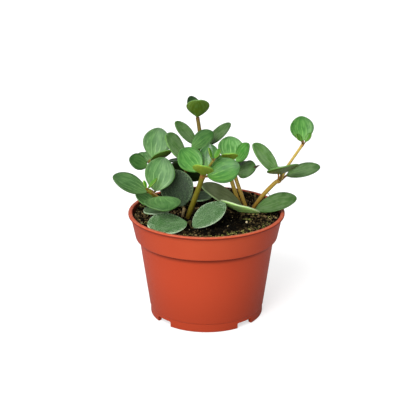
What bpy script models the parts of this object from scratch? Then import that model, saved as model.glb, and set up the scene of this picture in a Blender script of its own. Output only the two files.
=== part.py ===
"""A trailing jade peperomia growing in a plastic nursery pot.

Everything is in metres with +Z up. The sizes are written in millimetres and turned into
metres by MM. While the plant is laid out, the pot's axis is x = y = 0, the pot stands on
z = 0, and the viewer of the reference view looks along +Y. The last step moves the whole
plant so that the middle of its bounding box is over the origin.

Azimuths are in degrees round +Z from +X, so 90 is away from the viewer and 180 is to the left.
"""

import math

import bmesh
import bpy
from mathutils import Matrix, Vector

MM = 0.001

# Pot: a 108 mm (4 1/4 inch) injection-moulded nursery pot with a collar and a foot ring.
RIM_RADIUS = 54.0
POT_HEIGHT = 74.0
LIP_DEPTH = 2.2
LIP_ROUND = 0.6
COLLAR_TOP_RADIUS = 52.4
COLLAR_BOTTOM_RADIUS = 49.2
COLLAR_BOTTOM = 56.2
BODY_TOP_RADIUS = 46.7
BODY_BOTTOM_RADIUS = 40.1
FOOT_HEIGHT = 5.9
FOOT_RADIUS = 39.6
FLOOR_UNDERSIDE = 3.4
WALL = 1.3
STEP_IN = 0.6
CORNER = 1.0
POT_SIDES = 60
NOTCHES = 4
NOTCH_WIDTH = 13.0
NOTCH_HEIGHT = 3.9
NOTCH_DEPTH = 12.0
FIRST_NOTCH = -48.0
DRAINS = 6
DRAIN_RADIUS = 3.5
DRAIN_REACH = 27.0
DRAIN_DEPTH = 30.0
HOLE_SIDES = 12

# Soil: it fills the pot to a few millimetres below the rim.
FIT = 0.3
SOIL_EDGE = 70.5
SOIL_MIDDLE = 69.2
SOIL_RINGS = (0.0, 9.0, 18.0, 27.0, 36.0, 42.0, 47.0)
SOIL_SINK = 50.0
SOIL_WAVE = 0.5
SOIL_BACK = 2.4
SOIL_BACK_START = 14.0
WAVE_X = 0.17
WAVE_Y = 0.21
SOIL_CORNER = 1.6
SOIL_CLEAR = 0.9
HOLE_SLACK = 0.5
HOLE_DEPTH = 14.0

# Stems: round and fleshy, thicker at each node where a whorl of leaves grows.
STEM_SIDES = 2
ROUTE_STEPS = 3

# Leaves: fleshy blades on short round stalks.
BLADE_MIDDLE = 1.1
BLADE_EDGE = 0.75
BLADE_WIDEST = 1.08
BLADE_BLUNT = 0.56
STALK_RADIUS = 0.8
BUD_STALK_RADIUS = 0.48
BUD_WIDTH = 8.0
LEAF_ALONG = 7
LEAF_ACROSS = 5
TIP_END = 0.988
LEAST_CURL = 0.1
LEAST_CUP = 1.0

SHARP_ANGLE = 50.0
WELD = 0.001

SOIL_BROWN = (0.035, 0.022, 0.014)
TERRACOTTA = (0.52, 0.10, 0.045)
STEM_OLIVE = (0.25, 0.17, 0.035)
FRESH_GREEN = (0.085, 0.27, 0.045)
GREY_GREEN = (0.075, 0.17, 0.075)
GUIDE_GREY = (0.5, 0.5, 0.5)
PLASTIC_ROUGHNESS = 0.45
SOIL_ROUGHNESS = 0.95
STEM_ROUGHNESS = 0.5
FRESH_ROUGHNESS = 0.35
GROWN_ROUGHNESS = 0.55

# Each stem: its points from the bottom of its hole up, in millimetres, with the radius there.
# A point named in NODES carries a whorl.
STEMS = {
    "stem_front": (
        (-13.0, -1.6, 63.5, 1.6),
        (-12.9, -1.8, 69.0, 1.65),
        (-9.2, -6.0, 81.0, 1.9),
        (-5.2, -11.0, 94.0, 1.8),
        (-2.3, -14.0, 103.2, 1.8),
        (0.3, -14.4, 107.5, 0.9),
        (4.6, -14.0, 114.0, 0.9),
    ),
    "stem_tall": (
        (-19.4, 30.4, 63.5, 1.4),
        (-19.2, 30.0, 69.0, 1.4),
        (-18.8, 29.8, 72.6, 1.5),
        (-15.3, 28.0, 91.5, 1.3),
        (-12.0, 26.0, 101.5, 1.6),
        (-7.6, 24.0, 108.0, 1.25),
        (-4.5, 22.5, 113.0, 1.55),
        (-4.8, 24.0, 123.6, 1.45),
        (-6.3, 25.0, 134.0, 1.3),
    ),
    "stem_left_front": (
        (-29.0, 10.4, 63.5, 1.3),
        (-29.0, 10.0, 69.0, 1.3),
        (-31.0, 7.0, 76.0, 1.5),
        (-35.5, 1.0, 83.5, 1.3),
        (-38.0, -2.0, 88.0, 1.6),
        (-41.0, -3.5, 90.5, 0.9),
    ),
    "stem_left_back": (
        (-27.6, 25.4, 63.5, 1.3),
        (-27.8, 25.0, 69.0, 1.3),
        (-32.5, 22.5, 88.0, 1.25),
        (-38.8, 19.0, 103.0, 1.5),
        (-39.4, 18.7, 104.4, 1.2),
    ),
    "stem_right_tall": (
        (24.6, 18.7, 63.5, 1.4),
        (24.4, 18.4, 69.0, 1.4),
        (17.4, 16.0, 90.8, 1.55),
        (17.0, 14.0, 102.0, 1.5),
    ),
    "stem_right_short": (
        (28.4, 16.4, 63.5, 1.4),
        (28.2, 16.4, 69.0, 1.4),
        (20.6, 19.2, 91.0, 1.45),
        (19.3, 20.0, 98.4, 1.5),
    ),
    "stem_right": (
        (31.6, 13.4, 63.5, 1.4),
        (31.8, 13.4, 69.0, 1.4),
        (39.4, 12.8, 80.5, 1.55),
        (47.8, 11.0, 90.5, 1.5),
        (50.7, 10.0, 92.7, 1.6),
        (55.6, 9.0, 102.5, 1.05),
        (62.0, 8.0, 113.0, 1.0),
        (65.9, 7.0, 119.5, 1.1),
    ),
    "stem_stub": (
        (-16.8, 0.2, 63.5, 1.1),
        (-16.6, 0.8, 69.0, 1.1),
        (-15.4, 3.6, 74.4, 1.1),
    ),
    "stem_runner": (
        (-11.2, -15.0, 63.5, 1.3),
        (-11.2, -15.2, 69.0, 1.3),
        (-11.2, -16.2, 71.6, 1.4),
    ),
    "stem_low_right": (
        (26.2, 10.4, 63.5, 1.3),
        (26.1, 10.0, 69.0, 1.3),
        (25.8, 9.0, 72.0, 1.4),
    ),
}

# Where leaves grow: the stem and the number of its point.
NODES = {
    "front": ("stem_front", 4),
    "front_tip": ("stem_front", 6),
    "runner": ("stem_runner", 2),
    "tall_low": ("stem_tall", 4),
    "tall_middle": ("stem_tall", 6),
    "tall_top": ("stem_tall", 8),
    "tall_foot": ("stem_tall", 2),
    "left_front": ("stem_left_front", 4),
    "left_front_tip": ("stem_left_front", 5),
    "left_front_low": ("stem_left_front", 2),
    "left_back": ("stem_left_back", 3),
    "right_tall": ("stem_right_tall", 3),
    "right_short": ("stem_right_short", 3),
    "low_right": ("stem_low_right", 2),
    "right": ("stem_right", 4),
    "right_tip": ("stem_right", 7),
    "stub": ("stem_stub", 2),
}

# Each leaf: the node it grows from; where its blade starts, from the middle of that node; the
# azimuth and rise of the blade from base to tip; its roll, which lifts the right-hand edge as
# seen from the stem; its length and width; and how far its edges cup up and its length curls up.
# Angles are in degrees, lengths in millimetres.
LEAVES = {
    "leaf_front_left": ("front", (-2.0, 1.0, 3.1), 158, 45, 45, 19.5, 18, 20, 10),
    "leaf_front_right": ("front", (2.9, -1.4, 0.2), 6, 18, -50, 23, 18.5, 15, 10),
    "leaf_front_back": ("front", (3.2, 4.2, 4.2), 80, 57, 0, 17, 15, 25, 15),
    "leaf_front_near": ("front", (-0.3, -3.0, 2.4), -87, 38, 12, 15, 15, 25, 15),
    "leaf_front_bud_left": ("front_tip", (-0.9, 0.7, 1.3), 160, 72, 0, 7.5, 4.6, 30, 20),
    "leaf_front_bud_right": ("front_tip", (1.0, 0.8, 1.2), 50, 50, 0, 7.5, 5, 30, 20),
    "leaf_left_front_left": ("left_front", (-2.8, -0.5, 0.2), -172, 28, 40, 26, 15.5, 10, -10),
    "leaf_left_front_up": ("left_front", (2.7, 4.0, -0.6), 50, 66, -35, 24, 21.5, 15, 10),
    "leaf_left_front_near": ("left_front", (5.4, -5.0, -2.2), -75, -4, 0, 24, 25, 10, -10),
    "leaf_left_front_bud_left": ("left_front_tip", (0.2, -1.2, 1.4), 170, 70, 20, 5.5, 3.2, 30, 20),
    "leaf_left_front_bud_right": ("left_front_tip", (1.2, -0.5, 1.0), 20, 45, 0, 9, 5, 30, 20),
    "leaf_left_low": ("left_front_low", (-5.5, -3.6, 2.6), -170, 30, 32, 14.5, 14, 10, 0),
    "leaf_left_low_near": ("left_front_low", (5.0, -6.5, -1.6), -150, 3, 3, 19, 18, 10, 0),
    "leaf_left_back_up": ("left_back", (1.6, 2.2, 2.0), 52, 70, -30, 22, 20, 15, 5),
    "leaf_left_back_near": ("left_back", (0.2, -3.6, 1.4), -12, 32, 26, 17.0, 15.5, 15, 10),
    "leaf_left_back_left": ("left_back", (-2.6, -0.8, -2.5), -168, 25, 35, 14, 15, 15, 0),
    "leaf_left_back_far": ("left_back", (-2.2, 4.4, -1.4), 105, 12, 0, 15, 14, 15, 0),
    "leaf_tall_low_left": ("tall_low", (-2.2, -1.4, 2.8), -155, 49, 37, 24, 22, 10, 0),
    "leaf_tall_low_edge": ("tall_low", (-3.5, 1.6, -0.6), 160, -2, -5, 12, 14, 10, 0),
    "leaf_tall_low_near": ("tall_low", (1.2, -3.0, -0.4), -48, -8, 0, 13, 12, 10, 0),
    "leaf_tall_low_far": ("tall_low", (1.4, 3.6, -4.2), 139, -49, -50, 16.5, 25, 12, 0),
    "leaf_tall_middle_left": ("tall_middle", (-2.6, 1.2, 1.8), -175, 48, 33, 22, 13, 10, 0),
    "leaf_tall_middle_right": ("tall_middle", (4.6, 2.0, 0.5), 6, 43, -22, 23, 12.5, 10, 0),
    "leaf_tall_middle_near": ("tall_middle", (-5.6, -7.6, 1.4), 8, 36, -30, 18.5, 16.5, 15, 5),
    "leaf_tall_middle_far": ("tall_middle", (0.5, 3.2, 0.5), 95, 8, 0, 16, 15, 12, 0),
    "leaf_tall_top_near": ("tall_top", (0.2, -3.0, 1.2), -86, 54, 0, 17, 17, 35, 10),
    "leaf_tall_top_far": ("tall_top", (-1.0, 2.6, 1.9), 125, 58, 0, 13, 10.5, 25, 0),
    "leaf_right_tall_up": ("right_tall", (0.2, 2.6, 2.6), 98, 64, -5, 17.5, 19, 20, 0),
    "leaf_right_tall_fold": ("right_tall", (3.9, 0.5, 2.4), -5, 58, -35, 16, 14, 25, 10),
    "leaf_right_tall_near": ("right_tall", (-0.5, -4.0, 5.6), -97, 34, -5, 13, 12, 25, 10),
    "leaf_right_tall_left": ("right_tall", (-4.0, 0.5, 1.6), 180, 30, 10, 13, 12, 20, 0),
    "leaf_right_short_right": ("right_short", (2.6, -2.8, -2.8), -22, 22, -30, 14.5, 17.5, 10, -10),
    "leaf_right_short_far": ("right_short", (3.4, 3.6, -0.6), 48, 4, 0, 13, 12, 10, 0),
    "leaf_right_left": ("right", (-1.2, -0.9, 5.8), -170, 49, 35, 28, 17.5, 10, -5),
    "leaf_right_near": ("right", (1.0, -4.4, 6.4), -88, 30, -12, 20, 23, 15, 10),
    "leaf_right_right": ("right", (4.8, -0.3, 3.4), -2, 16, -22, 24, 15, 10, -10),
    "leaf_right_far": ("right", (1.5, 3.5, 6.0), 88, -10, 0, 17, 15, 12, 0),
    "leaf_right_tip_up": ("right_tip", (0.0, 2.0, 1.7), 106, 72, 10, 17, 17, 20, 5),
    "leaf_right_tip_left": ("right_tip", (-1.2, -0.8, 2.2), 150, 50, 20, 6, 4.5, 30, 20),
    "leaf_right_tip_right": ("right_tip", (1.4, -0.8, 1.7), 28, 54, -20, 7.5, 4.4, 30, 20),
    "leaf_old_up": ("stub", (-1.1, 4.4, -0.4), 135, 64, 40, 27, 24, 10, -5),
    "leaf_old_rim": ("runner", (-2.1, -4.8, 0.9), -156, 3, 21, 28, 22, 8, -8),
    "leaf_old_front": ("runner", (2.3, -9.8, -0.6), 31, 27, -22, 28, 18, 8, -8),
    "leaf_old_far": ("tall_foot", (5.6, -2.3, 1.2), -18, 7, -8, 18, 17, 8, -8),
    "leaf_old_long": ("low_right", (-1.2, 2.6, 1.0), -166, 31, 26, 34, 19, 10, -10),
    "leaf_old_near": ("low_right", (-2.6, -8.0, 1.2), -93, 28, 16, 24, 29, 12, 5),
    "leaf_old_right": ("low_right", (8.4, -4.4, 0.8), -8, 19, -20, 30, 20, 10, -12),
}
YOUNG = ("front", "left_front", "left_back", "right_tall", "right_tip", "right", "tall_top")


def clear_scene():
    for old in list(bpy.data.objects):
        bpy.data.objects.remove(old, do_unlink=True)


def material(name, colour, roughness):
    made = bpy.data.materials.new(name)
    made.use_nodes = True
    shader = made.node_tree.nodes["Principled BSDF"]
    shader.inputs["Base Color"].default_value = (*colour, 1.0)
    shader.inputs["Roughness"].default_value = roughness
    shader.inputs["Metallic"].default_value = 0.0
    made.diffuse_color = (*colour, 1.0)
    return made


def mesh_object(name, bm, mat, parent):
    """Turns a bmesh into a named object with outward normals."""
    bmesh.ops.recalc_face_normals(bm, faces=bm.faces)
    mesh = bpy.data.meshes.new(name)
    bm.to_mesh(mesh)
    bm.free()
    mesh.shade_smooth()
    mesh.set_sharp_from_angle(angle=math.radians(SHARP_ANGLE))
    mesh.materials.append(mat)
    made = bpy.data.objects.new(name, mesh)
    made.parent = parent
    bpy.context.scene.collection.objects.link(made)
    return made


def turned(profile, sides):
    """A closed solid of revolution. The profile is (radius, height) in millimetres, and its two
    ends lie on the axis."""
    bm = bmesh.new()
    corners = [bm.verts.new((radius * MM, 0.0, height * MM)) for radius, height in profile]
    edges = [bm.edges.new(pair) for pair in zip(corners, corners[1:])]
    bmesh.ops.spin(
        bm,
        geom=corners + edges,
        cent=(0, 0, 0),
        axis=(0, 0, 1),
        angle=math.tau,
        steps=sides,
        use_merge=True,
    )
    bmesh.ops.remove_doubles(bm, verts=bm.verts, dist=WELD * MM)
    return bm


def bored(bm, place, radius, depth):
    """Adds a round bar to a cutter: millimetres, with its middle and direction set by place."""
    bmesh.ops.create_cone(
        bm,
        cap_ends=True,
        segments=HOLE_SIDES,
        radius1=radius * MM,
        radius2=radius * MM,
        depth=depth * MM,
        matrix=place,
    )


def cutter(name, bm, parent):
    """A helper for a Boolean, which is left out of renders and of the solids."""
    made = mesh_object(name, bm, bpy.data.materials["guide"], parent)
    made.hide_render = True
    made.display_type = "WIRE"
    return made


def cut(target, tool):
    boolean = target.modifiers.new(tool.name, "BOOLEAN")
    boolean.object = tool
    boolean.operation = "DIFFERENCE"


def build_pot(parent):
    """The pot: foot ring, tapered body, a step out to the collar, and a rolled lip."""
    lip_bottom = POT_HEIGHT - LIP_DEPTH
    profile = (
        (0.0, FLOOR_UNDERSIDE),
        (FOOT_RADIUS - 2 * WALL - CORNER, FLOOR_UNDERSIDE),
        (FOOT_RADIUS - 2 * WALL, 0.0),
        (FOOT_RADIUS, 0.0),
        (FOOT_RADIUS, FOOT_HEIGHT),
        (BODY_BOTTOM_RADIUS, FOOT_HEIGHT + STEP_IN),
        (BODY_TOP_RADIUS, COLLAR_BOTTOM - STEP_IN),
        (COLLAR_BOTTOM_RADIUS, COLLAR_BOTTOM),
        (COLLAR_TOP_RADIUS, lip_bottom),
        (RIM_RADIUS, lip_bottom + LIP_ROUND),
        (RIM_RADIUS, POT_HEIGHT - LIP_ROUND),
        (RIM_RADIUS - LIP_ROUND, POT_HEIGHT),
        (COLLAR_TOP_RADIUS - WALL + LIP_ROUND / 2, POT_HEIGHT),
        (COLLAR_TOP_RADIUS - WALL, POT_HEIGHT - LIP_ROUND),
        (COLLAR_BOTTOM_RADIUS - WALL, COLLAR_BOTTOM + WALL),
        (BODY_TOP_RADIUS - WALL, COLLAR_BOTTOM - WALL),
        (BODY_BOTTOM_RADIUS - WALL, FLOOR_UNDERSIDE + WALL + CORNER),
        (BODY_BOTTOM_RADIUS - WALL - CORNER, FLOOR_UNDERSIDE + WALL),
        (0.0, FLOOR_UNDERSIDE + WALL),
    )
    plastic = material("terracotta_plastic", TERRACOTTA, PLASTIC_ROUGHNESS)
    pot = mesh_object("pot", turned(profile, POT_SIDES), plastic, parent)
    bm = bmesh.new()
    for index in range(NOTCHES):
        turn = Matrix.Rotation(math.radians(FIRST_NOTCH + index * 360 / NOTCHES), 4, "Z")
        place = Matrix.Translation((0, -FOOT_RADIUS * MM, 0))
        size = Matrix.Diagonal((NOTCH_WIDTH * MM, NOTCH_DEPTH * MM, 2 * NOTCH_HEIGHT * MM, 1))
        bmesh.ops.create_cube(bm, size=1.0, matrix=turn @ place @ size)
    cut(pot, cutter("foot_notches", bm, parent))
    bm = bmesh.new()
    for index in range(DRAINS):
        turn = Matrix.Rotation(math.tau * index / DRAINS, 4, "Z")
        bored(bm, turn @ Matrix.Translation((DRAIN_REACH * MM, 0, 0)), DRAIN_RADIUS, DRAIN_DEPTH)
    cut(pot, cutter("drain_holes", bm, parent))
    return pot


def soil_top(x, y):
    """Height of the soil at a place, in millimetres: nearly level, higher along the wall and at
    the back, where the mix is heaped up to the rim."""
    reach = math.hypot(x, y) / SOIL_SINK
    uneven = math.sin(WAVE_X * x + 1.3) * math.cos(WAVE_Y * y - 0.4)
    heaped = SOIL_BACK * max((y - SOIL_BACK_START) / (SOIL_SINK - SOIL_BACK_START), 0.0)
    return SOIL_MIDDLE + (SOIL_EDGE - SOIL_MIDDLE) * reach**6 + SOIL_WAVE * uneven + heaped


def build_soil(parent):
    """The potting mix: the shape of the pot's inside, with one plain hole for each stem."""
    bottom = FLOOR_UNDERSIDE + WALL + FIT
    inner = WALL + FIT
    profile = (
        (0.0, bottom),
        (BODY_BOTTOM_RADIUS - inner - SOIL_CORNER, bottom),
        (BODY_BOTTOM_RADIUS - inner, bottom + SOIL_CORNER),
        (BODY_TOP_RADIUS - inner, COLLAR_BOTTOM - WALL),
        (COLLAR_BOTTOM_RADIUS - inner, COLLAR_BOTTOM + WALL + STEP_IN),
        (COLLAR_TOP_RADIUS - inner - SOIL_CLEAR, SOIL_EDGE),
    ) + tuple((radius, SOIL_MIDDLE) for radius in reversed(SOIL_RINGS))
    bm = turned(profile, POT_SIDES // 2)
    for vert in bm.verts:
        if vert.co.z > (COLLAR_BOTTOM + 2 * WALL) * MM:
            vert.co.z = soil_top(vert.co.x / MM, vert.co.y / MM) * MM
    soil = mesh_object("soil", bm, material("potting_mix", SOIL_BROWN, SOIL_ROUGHNESS), parent)
    for name, points in STEMS.items():
        foot = Vector(points[0][:3])
        up = (Vector(points[1][:3]) - foot).normalized()
        middle = foot + up * (HOLE_DEPTH / 2 - 2 * FIT)
        turn = up.to_track_quat("Z", "Y").to_matrix().to_4x4()
        radius = points[0][3] + FIT + HOLE_SLACK
        bm = bmesh.new()
        bored(bm, Matrix.Translation(middle * MM) @ turn, radius, HOLE_DEPTH)
        cut(soil, cutter(name + "_hole", bm, parent))
    return soil


def smooth_route(points):
    """Catmull-Rom points through a stem's own points, with the radius blended between them."""
    places = [Vector(point) for point in points]
    route = []
    for index in range(len(places) - 1):
        before = places[max(index - 1, 0)]
        start, end = places[index], places[index + 1]
        after = places[min(index + 2, len(places) - 1)]
        for step in range(ROUTE_STEPS):
            t = step / ROUTE_STEPS
            place = 0.5 * (
                2 * start
                + (end - before) * t
                + (2 * before - 5 * start + 4 * end - after) * t * t
                + (3 * start - before - 3 * end + after) * t * t * t
            )
            route.append(place)
    route.append(places[-1])
    return route


def build_stem(name, points, mat, parent):
    curve = bpy.data.curves.new(name, "CURVE")
    curve.dimensions = "3D"
    curve.bevel_depth = MM
    curve.bevel_resolution = STEM_SIDES
    curve.use_fill_caps = True
    route = smooth_route(points)
    spline = curve.splines.new("POLY")
    spline.points.add(len(route) - 1)
    for point, place in zip(spline.points, route):
        point.co = (place[0] * MM, place[1] * MM, place[2] * MM, 1.0)
        point.radius = place[3]
    curve.materials.append(mat)
    stem = bpy.data.objects.new(name, curve)
    stem.parent = parent
    bpy.context.scene.collection.objects.link(stem)
    return stem


def blade_half_width(share, width):
    """Half the blade's width at a share of its length: an oval that is widest just past the middle."""
    return 0.5 * width * math.sin(math.pi * share**BLADE_WIDEST) ** BLADE_BLUNT


def leaf_matrix(azimuth, rise, roll):
    """Turns +X to the blade's direction, +Y to its left-hand edge and +Z to its upper face."""
    return (
        Matrix.Rotation(math.radians(azimuth), 4, "Z")
        @ Matrix.Rotation(math.radians(-rise), 4, "Y")
        @ Matrix.Rotation(math.radians(-roll), 4, "X")
    )


def blade_ring(share, length, width, cup, curl, stalk_radius):
    """One closed cross-section of the blade in its own frame: the upper row, then the lower row
    back. The midrib is an arc and so is the cross-section. It returns the midrib's direction too."""
    half_curl = math.radians(curl if abs(curl) > LEAST_CURL else LEAST_CURL) / 2
    lean = half_curl * (2 * share - 1)
    spread = length / (2 * math.sin(half_curl))
    along = Vector((math.cos(lean), 0, math.sin(lean)))
    up = Vector((-math.sin(lean), 0, math.cos(lean)))
    side = Vector((0, 1, 0))
    ahead = spread * (math.sin(lean) + math.sin(half_curl))
    middle = Vector((ahead, 0, -spread * (math.cos(lean) - math.cos(half_curl))))
    half = max(blade_half_width(share, width), stalk_radius)
    bow = math.radians(max(cup, LEAST_CUP))
    radius = half / bow
    upper, lower = [], []
    for index in range(LEAF_ACROSS):
        t = 1 - 2 * index / (LEAF_ACROSS - 1)
        angle = bow * t
        place = middle + (side * math.sin(angle) + up * (1 - math.cos(angle))) * radius
        face = up * math.cos(angle) - side * math.sin(angle)
        thick = BLADE_MIDDLE + (BLADE_EDGE - BLADE_MIDDLE) * t * t
        upper.append(place + face * thick / 2)
        lower.append(place - face * thick / 2)
    return upper + lower[::-1], along


def stalk_ring(centre, along, side, radius):
    """A round cross-section of the stalk with as many points as a blade ring, in the same order."""
    up = side.cross(along).normalized() * -1
    ring = []
    for index in range(2 * LEAF_ACROSS):
        angle = math.pi * (index + 0.5) / LEAF_ACROSS
        ring.append(centre + (side * math.cos(angle) + up * math.sin(angle)) * radius)
    return ring


def skin(rings):
    """A closed mesh through the rings, split into triangles alike on the upper and the lower face."""
    bm = bmesh.new()
    rows = [[bm.verts.new(place * MM) for place in ring] for ring in rings]
    count = len(rows[0])
    for near, far in zip(rows, rows[1:]):
        for index in range(count):
            after = (index + 1) % count
            if index < count // 2:
                bm.faces.new((near[index], near[after], far[after]))
                bm.faces.new((near[index], far[after], far[index]))
            else:
                bm.faces.new((near[index], near[after], far[index]))
                bm.faces.new((near[after], far[after], far[index]))
    for row in (rows[0], rows[-1]):
        for index in range(count // 2 - 1):
            below = count - 1 - index
            bm.faces.new((row[index], row[index + 1], row[below - 1], row[below]))
    return bm


def stem_direction(stem, index):
    """The direction of a stem where it passes one of its points."""
    points = [Vector(point[:3]) for point in STEMS[stem]]
    return (points[min(index + 1, len(points) - 1)] - points[index - 1]).normalized()


def build_leaf(name, leaf, mat, parent):
    """A leaf in its own frame: its origin is where the blade starts, and its stalk bends back from
    there to a fit's width clear of the stem."""
    node, offset, azimuth, rise, roll, length, width, cup, curl = leaf
    stem, index = NODES[node]
    x, y, z, stem_radius = STEMS[stem][index]
    foot = Vector((x, y, z))
    offset = Vector(offset)
    out = Vector((offset.x, offset.y, 0)).normalized()
    stem_along = stem_direction(stem, index)
    turn = leaf_matrix(azimuth, rise, roll)
    back = turn.inverted().to_3x3()
    away = back @ out
    stalk_radius = STALK_RADIUS if width > BUD_WIDTH else BUD_STALK_RADIUS
    clear = stem_radius + FIT + stalk_radius * abs(out.dot(stem_along))
    start = back @ (out * clear / out.cross(stem_along).length - offset)
    blade = []
    for step in range(LEAF_ALONG + 1):
        share = TIP_END * (1 - math.cos(math.pi * step / LEAF_ALONG)) / 2
        blade.append(blade_ring(share, length, width, cup, curl, stalk_radius))
    first_along = blade[0][1]
    side = Vector((0, 1, 0))
    reach = start.length / 3
    one = start + away * reach
    two = -first_along * reach
    rings = []
    for t in (0.0, 0.5):
        left = 1 - t
        centre = start * left**3 + 3 * one * t * left**2 + 3 * two * t**2 * left
        along = away.lerp(first_along, t).normalized()
        across = (side - along * side.dot(along)).normalized()
        rings.append(stalk_ring(centre, along, across, stalk_radius))
    rings.extend(ring for ring, _ in blade)
    made = mesh_object(name, skin(rings), mat, parent)
    made.matrix_local = Matrix.Translation((foot + offset) * MM) @ turn
    return made


def centre_on_origin(plant, pieces):
    """Moves the plant so that the middle of its bounding box, seen from above, is on the Z axis:
    that is the shared frame's origin."""
    bpy.context.view_layer.update()
    graph = bpy.context.evaluated_depsgraph_get()
    lows, highs = [], []
    for piece in pieces:
        shown = piece.evaluated_get(graph)
        mesh = shown.to_mesh()
        places = [shown.matrix_world @ vert.co for vert in mesh.vertices]
        lows.append([min(place[axis] for place in places) for axis in range(3)])
        highs.append([max(place[axis] for place in places) for axis in range(3)])
        shown.to_mesh_clear()
    for axis in range(2):
        low = min(low[axis] for low in lows)
        high = max(high[axis] for high in highs)
        plant.location[axis] = -(low + high) / 2


clear_scene()
material("guide", GUIDE_GREY, GROWN_ROUGHNESS)
plant = bpy.data.objects.new("plant", None)
bpy.context.scene.collection.objects.link(plant)

pieces = [build_pot(plant), build_soil(plant)]
bark = material("stem_olive", STEM_OLIVE, STEM_ROUGHNESS)
for stem_name, stem_points in STEMS.items():
    pieces.append(build_stem(stem_name, stem_points, bark, plant))
fresh = material("leaf_fresh", FRESH_GREEN, FRESH_ROUGHNESS)
grown = material("leaf_grown", GREY_GREEN, GROWN_ROUGHNESS)
for leaf_name, leaf_row in LEAVES.items():
    skin_colour = fresh if leaf_row[0] in YOUNG else grown
    pieces.append(build_leaf(leaf_name, leaf_row, skin_colour, plant))
centre_on_origin(plant, pieces)
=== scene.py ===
# %% [markdown]
# # A trailing jade peperomia in a nursery pot
#
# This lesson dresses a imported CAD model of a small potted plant. The CAD solids say where the
# pot, the soil, each stem and each leaf are. Here every one of them is rebuilt with finer shapes
# and with procedural materials, in the same places. Nearly all shapes are worked out in
# millimetres from the pot's own axis, and the last step of each piece turns them into metres.

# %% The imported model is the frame
import math
import random

import bmesh
import bpy
from mathutils import Matrix, Vector, noise


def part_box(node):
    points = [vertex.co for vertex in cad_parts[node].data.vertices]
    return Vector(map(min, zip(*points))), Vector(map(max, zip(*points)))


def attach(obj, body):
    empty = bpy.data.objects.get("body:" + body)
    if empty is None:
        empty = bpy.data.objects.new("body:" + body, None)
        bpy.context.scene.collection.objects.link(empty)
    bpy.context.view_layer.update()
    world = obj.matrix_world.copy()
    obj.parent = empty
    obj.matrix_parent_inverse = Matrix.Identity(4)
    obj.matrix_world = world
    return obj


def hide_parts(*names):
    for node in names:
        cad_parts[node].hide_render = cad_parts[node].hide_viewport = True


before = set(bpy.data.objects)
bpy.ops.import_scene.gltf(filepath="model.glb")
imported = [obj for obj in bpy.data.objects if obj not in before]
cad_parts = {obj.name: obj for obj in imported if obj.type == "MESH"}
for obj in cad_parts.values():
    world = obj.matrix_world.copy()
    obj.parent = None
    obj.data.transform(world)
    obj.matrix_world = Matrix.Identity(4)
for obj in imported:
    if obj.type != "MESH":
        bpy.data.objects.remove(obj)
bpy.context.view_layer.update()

MM = 0.001
pot_low, pot_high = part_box("pot")
POT_AXIS = Vector(((pot_low.x + pot_high.x) / 2, (pot_low.y + pot_high.y) / 2, 0.0))
TO_FRAME = Matrix.Translation(POT_AXIS) @ Matrix.Scale(MM, 4)
print("pot axis, in metres:", tuple(round(value, 5) for value in POT_AXIS))

# %% [markdown]
# ## The camera
#
# The photograph looks down at the pot by about nineteen degrees. The ellipse of the rim gives
# that angle, and how quickly the pot narrows in the view gives the distance. A long lens set
# far back keeps the leaves from spreading, as the photographer's did.

# %% The camera
CAMERA_TILT = math.radians(19.306)
CAMERA_DISTANCE = 703.99 * MM
CAMERA_AIM_HEIGHT = 75.644 * MM
CAMERA_ASIDE = 1.036 * MM
SENSOR_WIDTH = 36.0
LENS = 88.232


def add_to_scene(name, data):
    made = bpy.data.objects.new(name, data)
    bpy.context.scene.collection.objects.link(made)
    return made


camera_data = bpy.data.cameras.new("camera")
camera_data.sensor_width, camera_data.lens = SENSOR_WIDTH, LENS
camera = add_to_scene("camera", camera_data)
camera.location = POT_AXIS + Vector((
    CAMERA_ASIDE,
    -CAMERA_DISTANCE * math.cos(CAMERA_TILT),
    CAMERA_AIM_HEIGHT + CAMERA_DISTANCE * math.sin(CAMERA_TILT),
))
camera.rotation_euler = (math.pi / 2 - CAMERA_TILT, 0.0, 0.0)
bpy.context.scene.camera = camera
bpy.context.scene.view_settings.view_transform = "Standard"
print("camera at:", tuple(round(value, 3) for value in camera.location))

# %% [markdown]
# ## Adding shader nodes
#
# Every finish here is a small tree of shader nodes. A few helpers keep those cells short: they
# add a node with its settings and inputs, work on values, paint one colour over another, and
# make a node group with named sockets. A socket knows the tree that it is in, as its id_data, so
# most helpers need no tree of their own.


# %% Helpers for materials
def linear(red, green, blue):
    """A colour as it is picked on a screen, from 0 to 255, turned into the renderer's units."""
    return tuple(
        (c / 12.92 if c <= 0.04045 else ((c + 0.055) / 1.055) ** 2.4)
        for c in (red / 255, green / 255, blue / 255)
    )


def fill(node, **inputs):
    """Fills inputs of a node. One is named by its socket, with _ for a space, or by its number as
    in s0, and is given another node's output, a plain value or a colour as on a screen."""
    for name, value in inputs.items():
        by_number = name[0] == "s" and name[1:].isdigit()
        socket = node.inputs[int(name[1:]) if by_number else name.replace("_", " ")]
        if isinstance(value, bpy.types.NodeSocket):
            node.id_data.links.new(value, socket)
        elif socket.type == "RGBA":
            socket.default_value = (*linear(*value), 1.0)
        else:
            socket.default_value = value


def put(tree, kind, settings=None, **inputs):
    """Adds a node with its settings, and with inputs as fill takes them."""
    made = tree.nodes.new("ShaderNode" + kind)
    for name, value in (settings or {}).items():
        setattr(made, name, value)
    fill(made, **inputs)
    return made


def coats(colour, *layers):
    """Paints layers over a colour. Each is a share, from 0 to 1, and the layer's colour."""
    for share, layer in layers:
        made = put(share.id_data, "Mix", {"data_type": "RGBA"}, s0=share, s6=colour, s7=layer)
        colour = made.outputs[2]
    return colour


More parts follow.
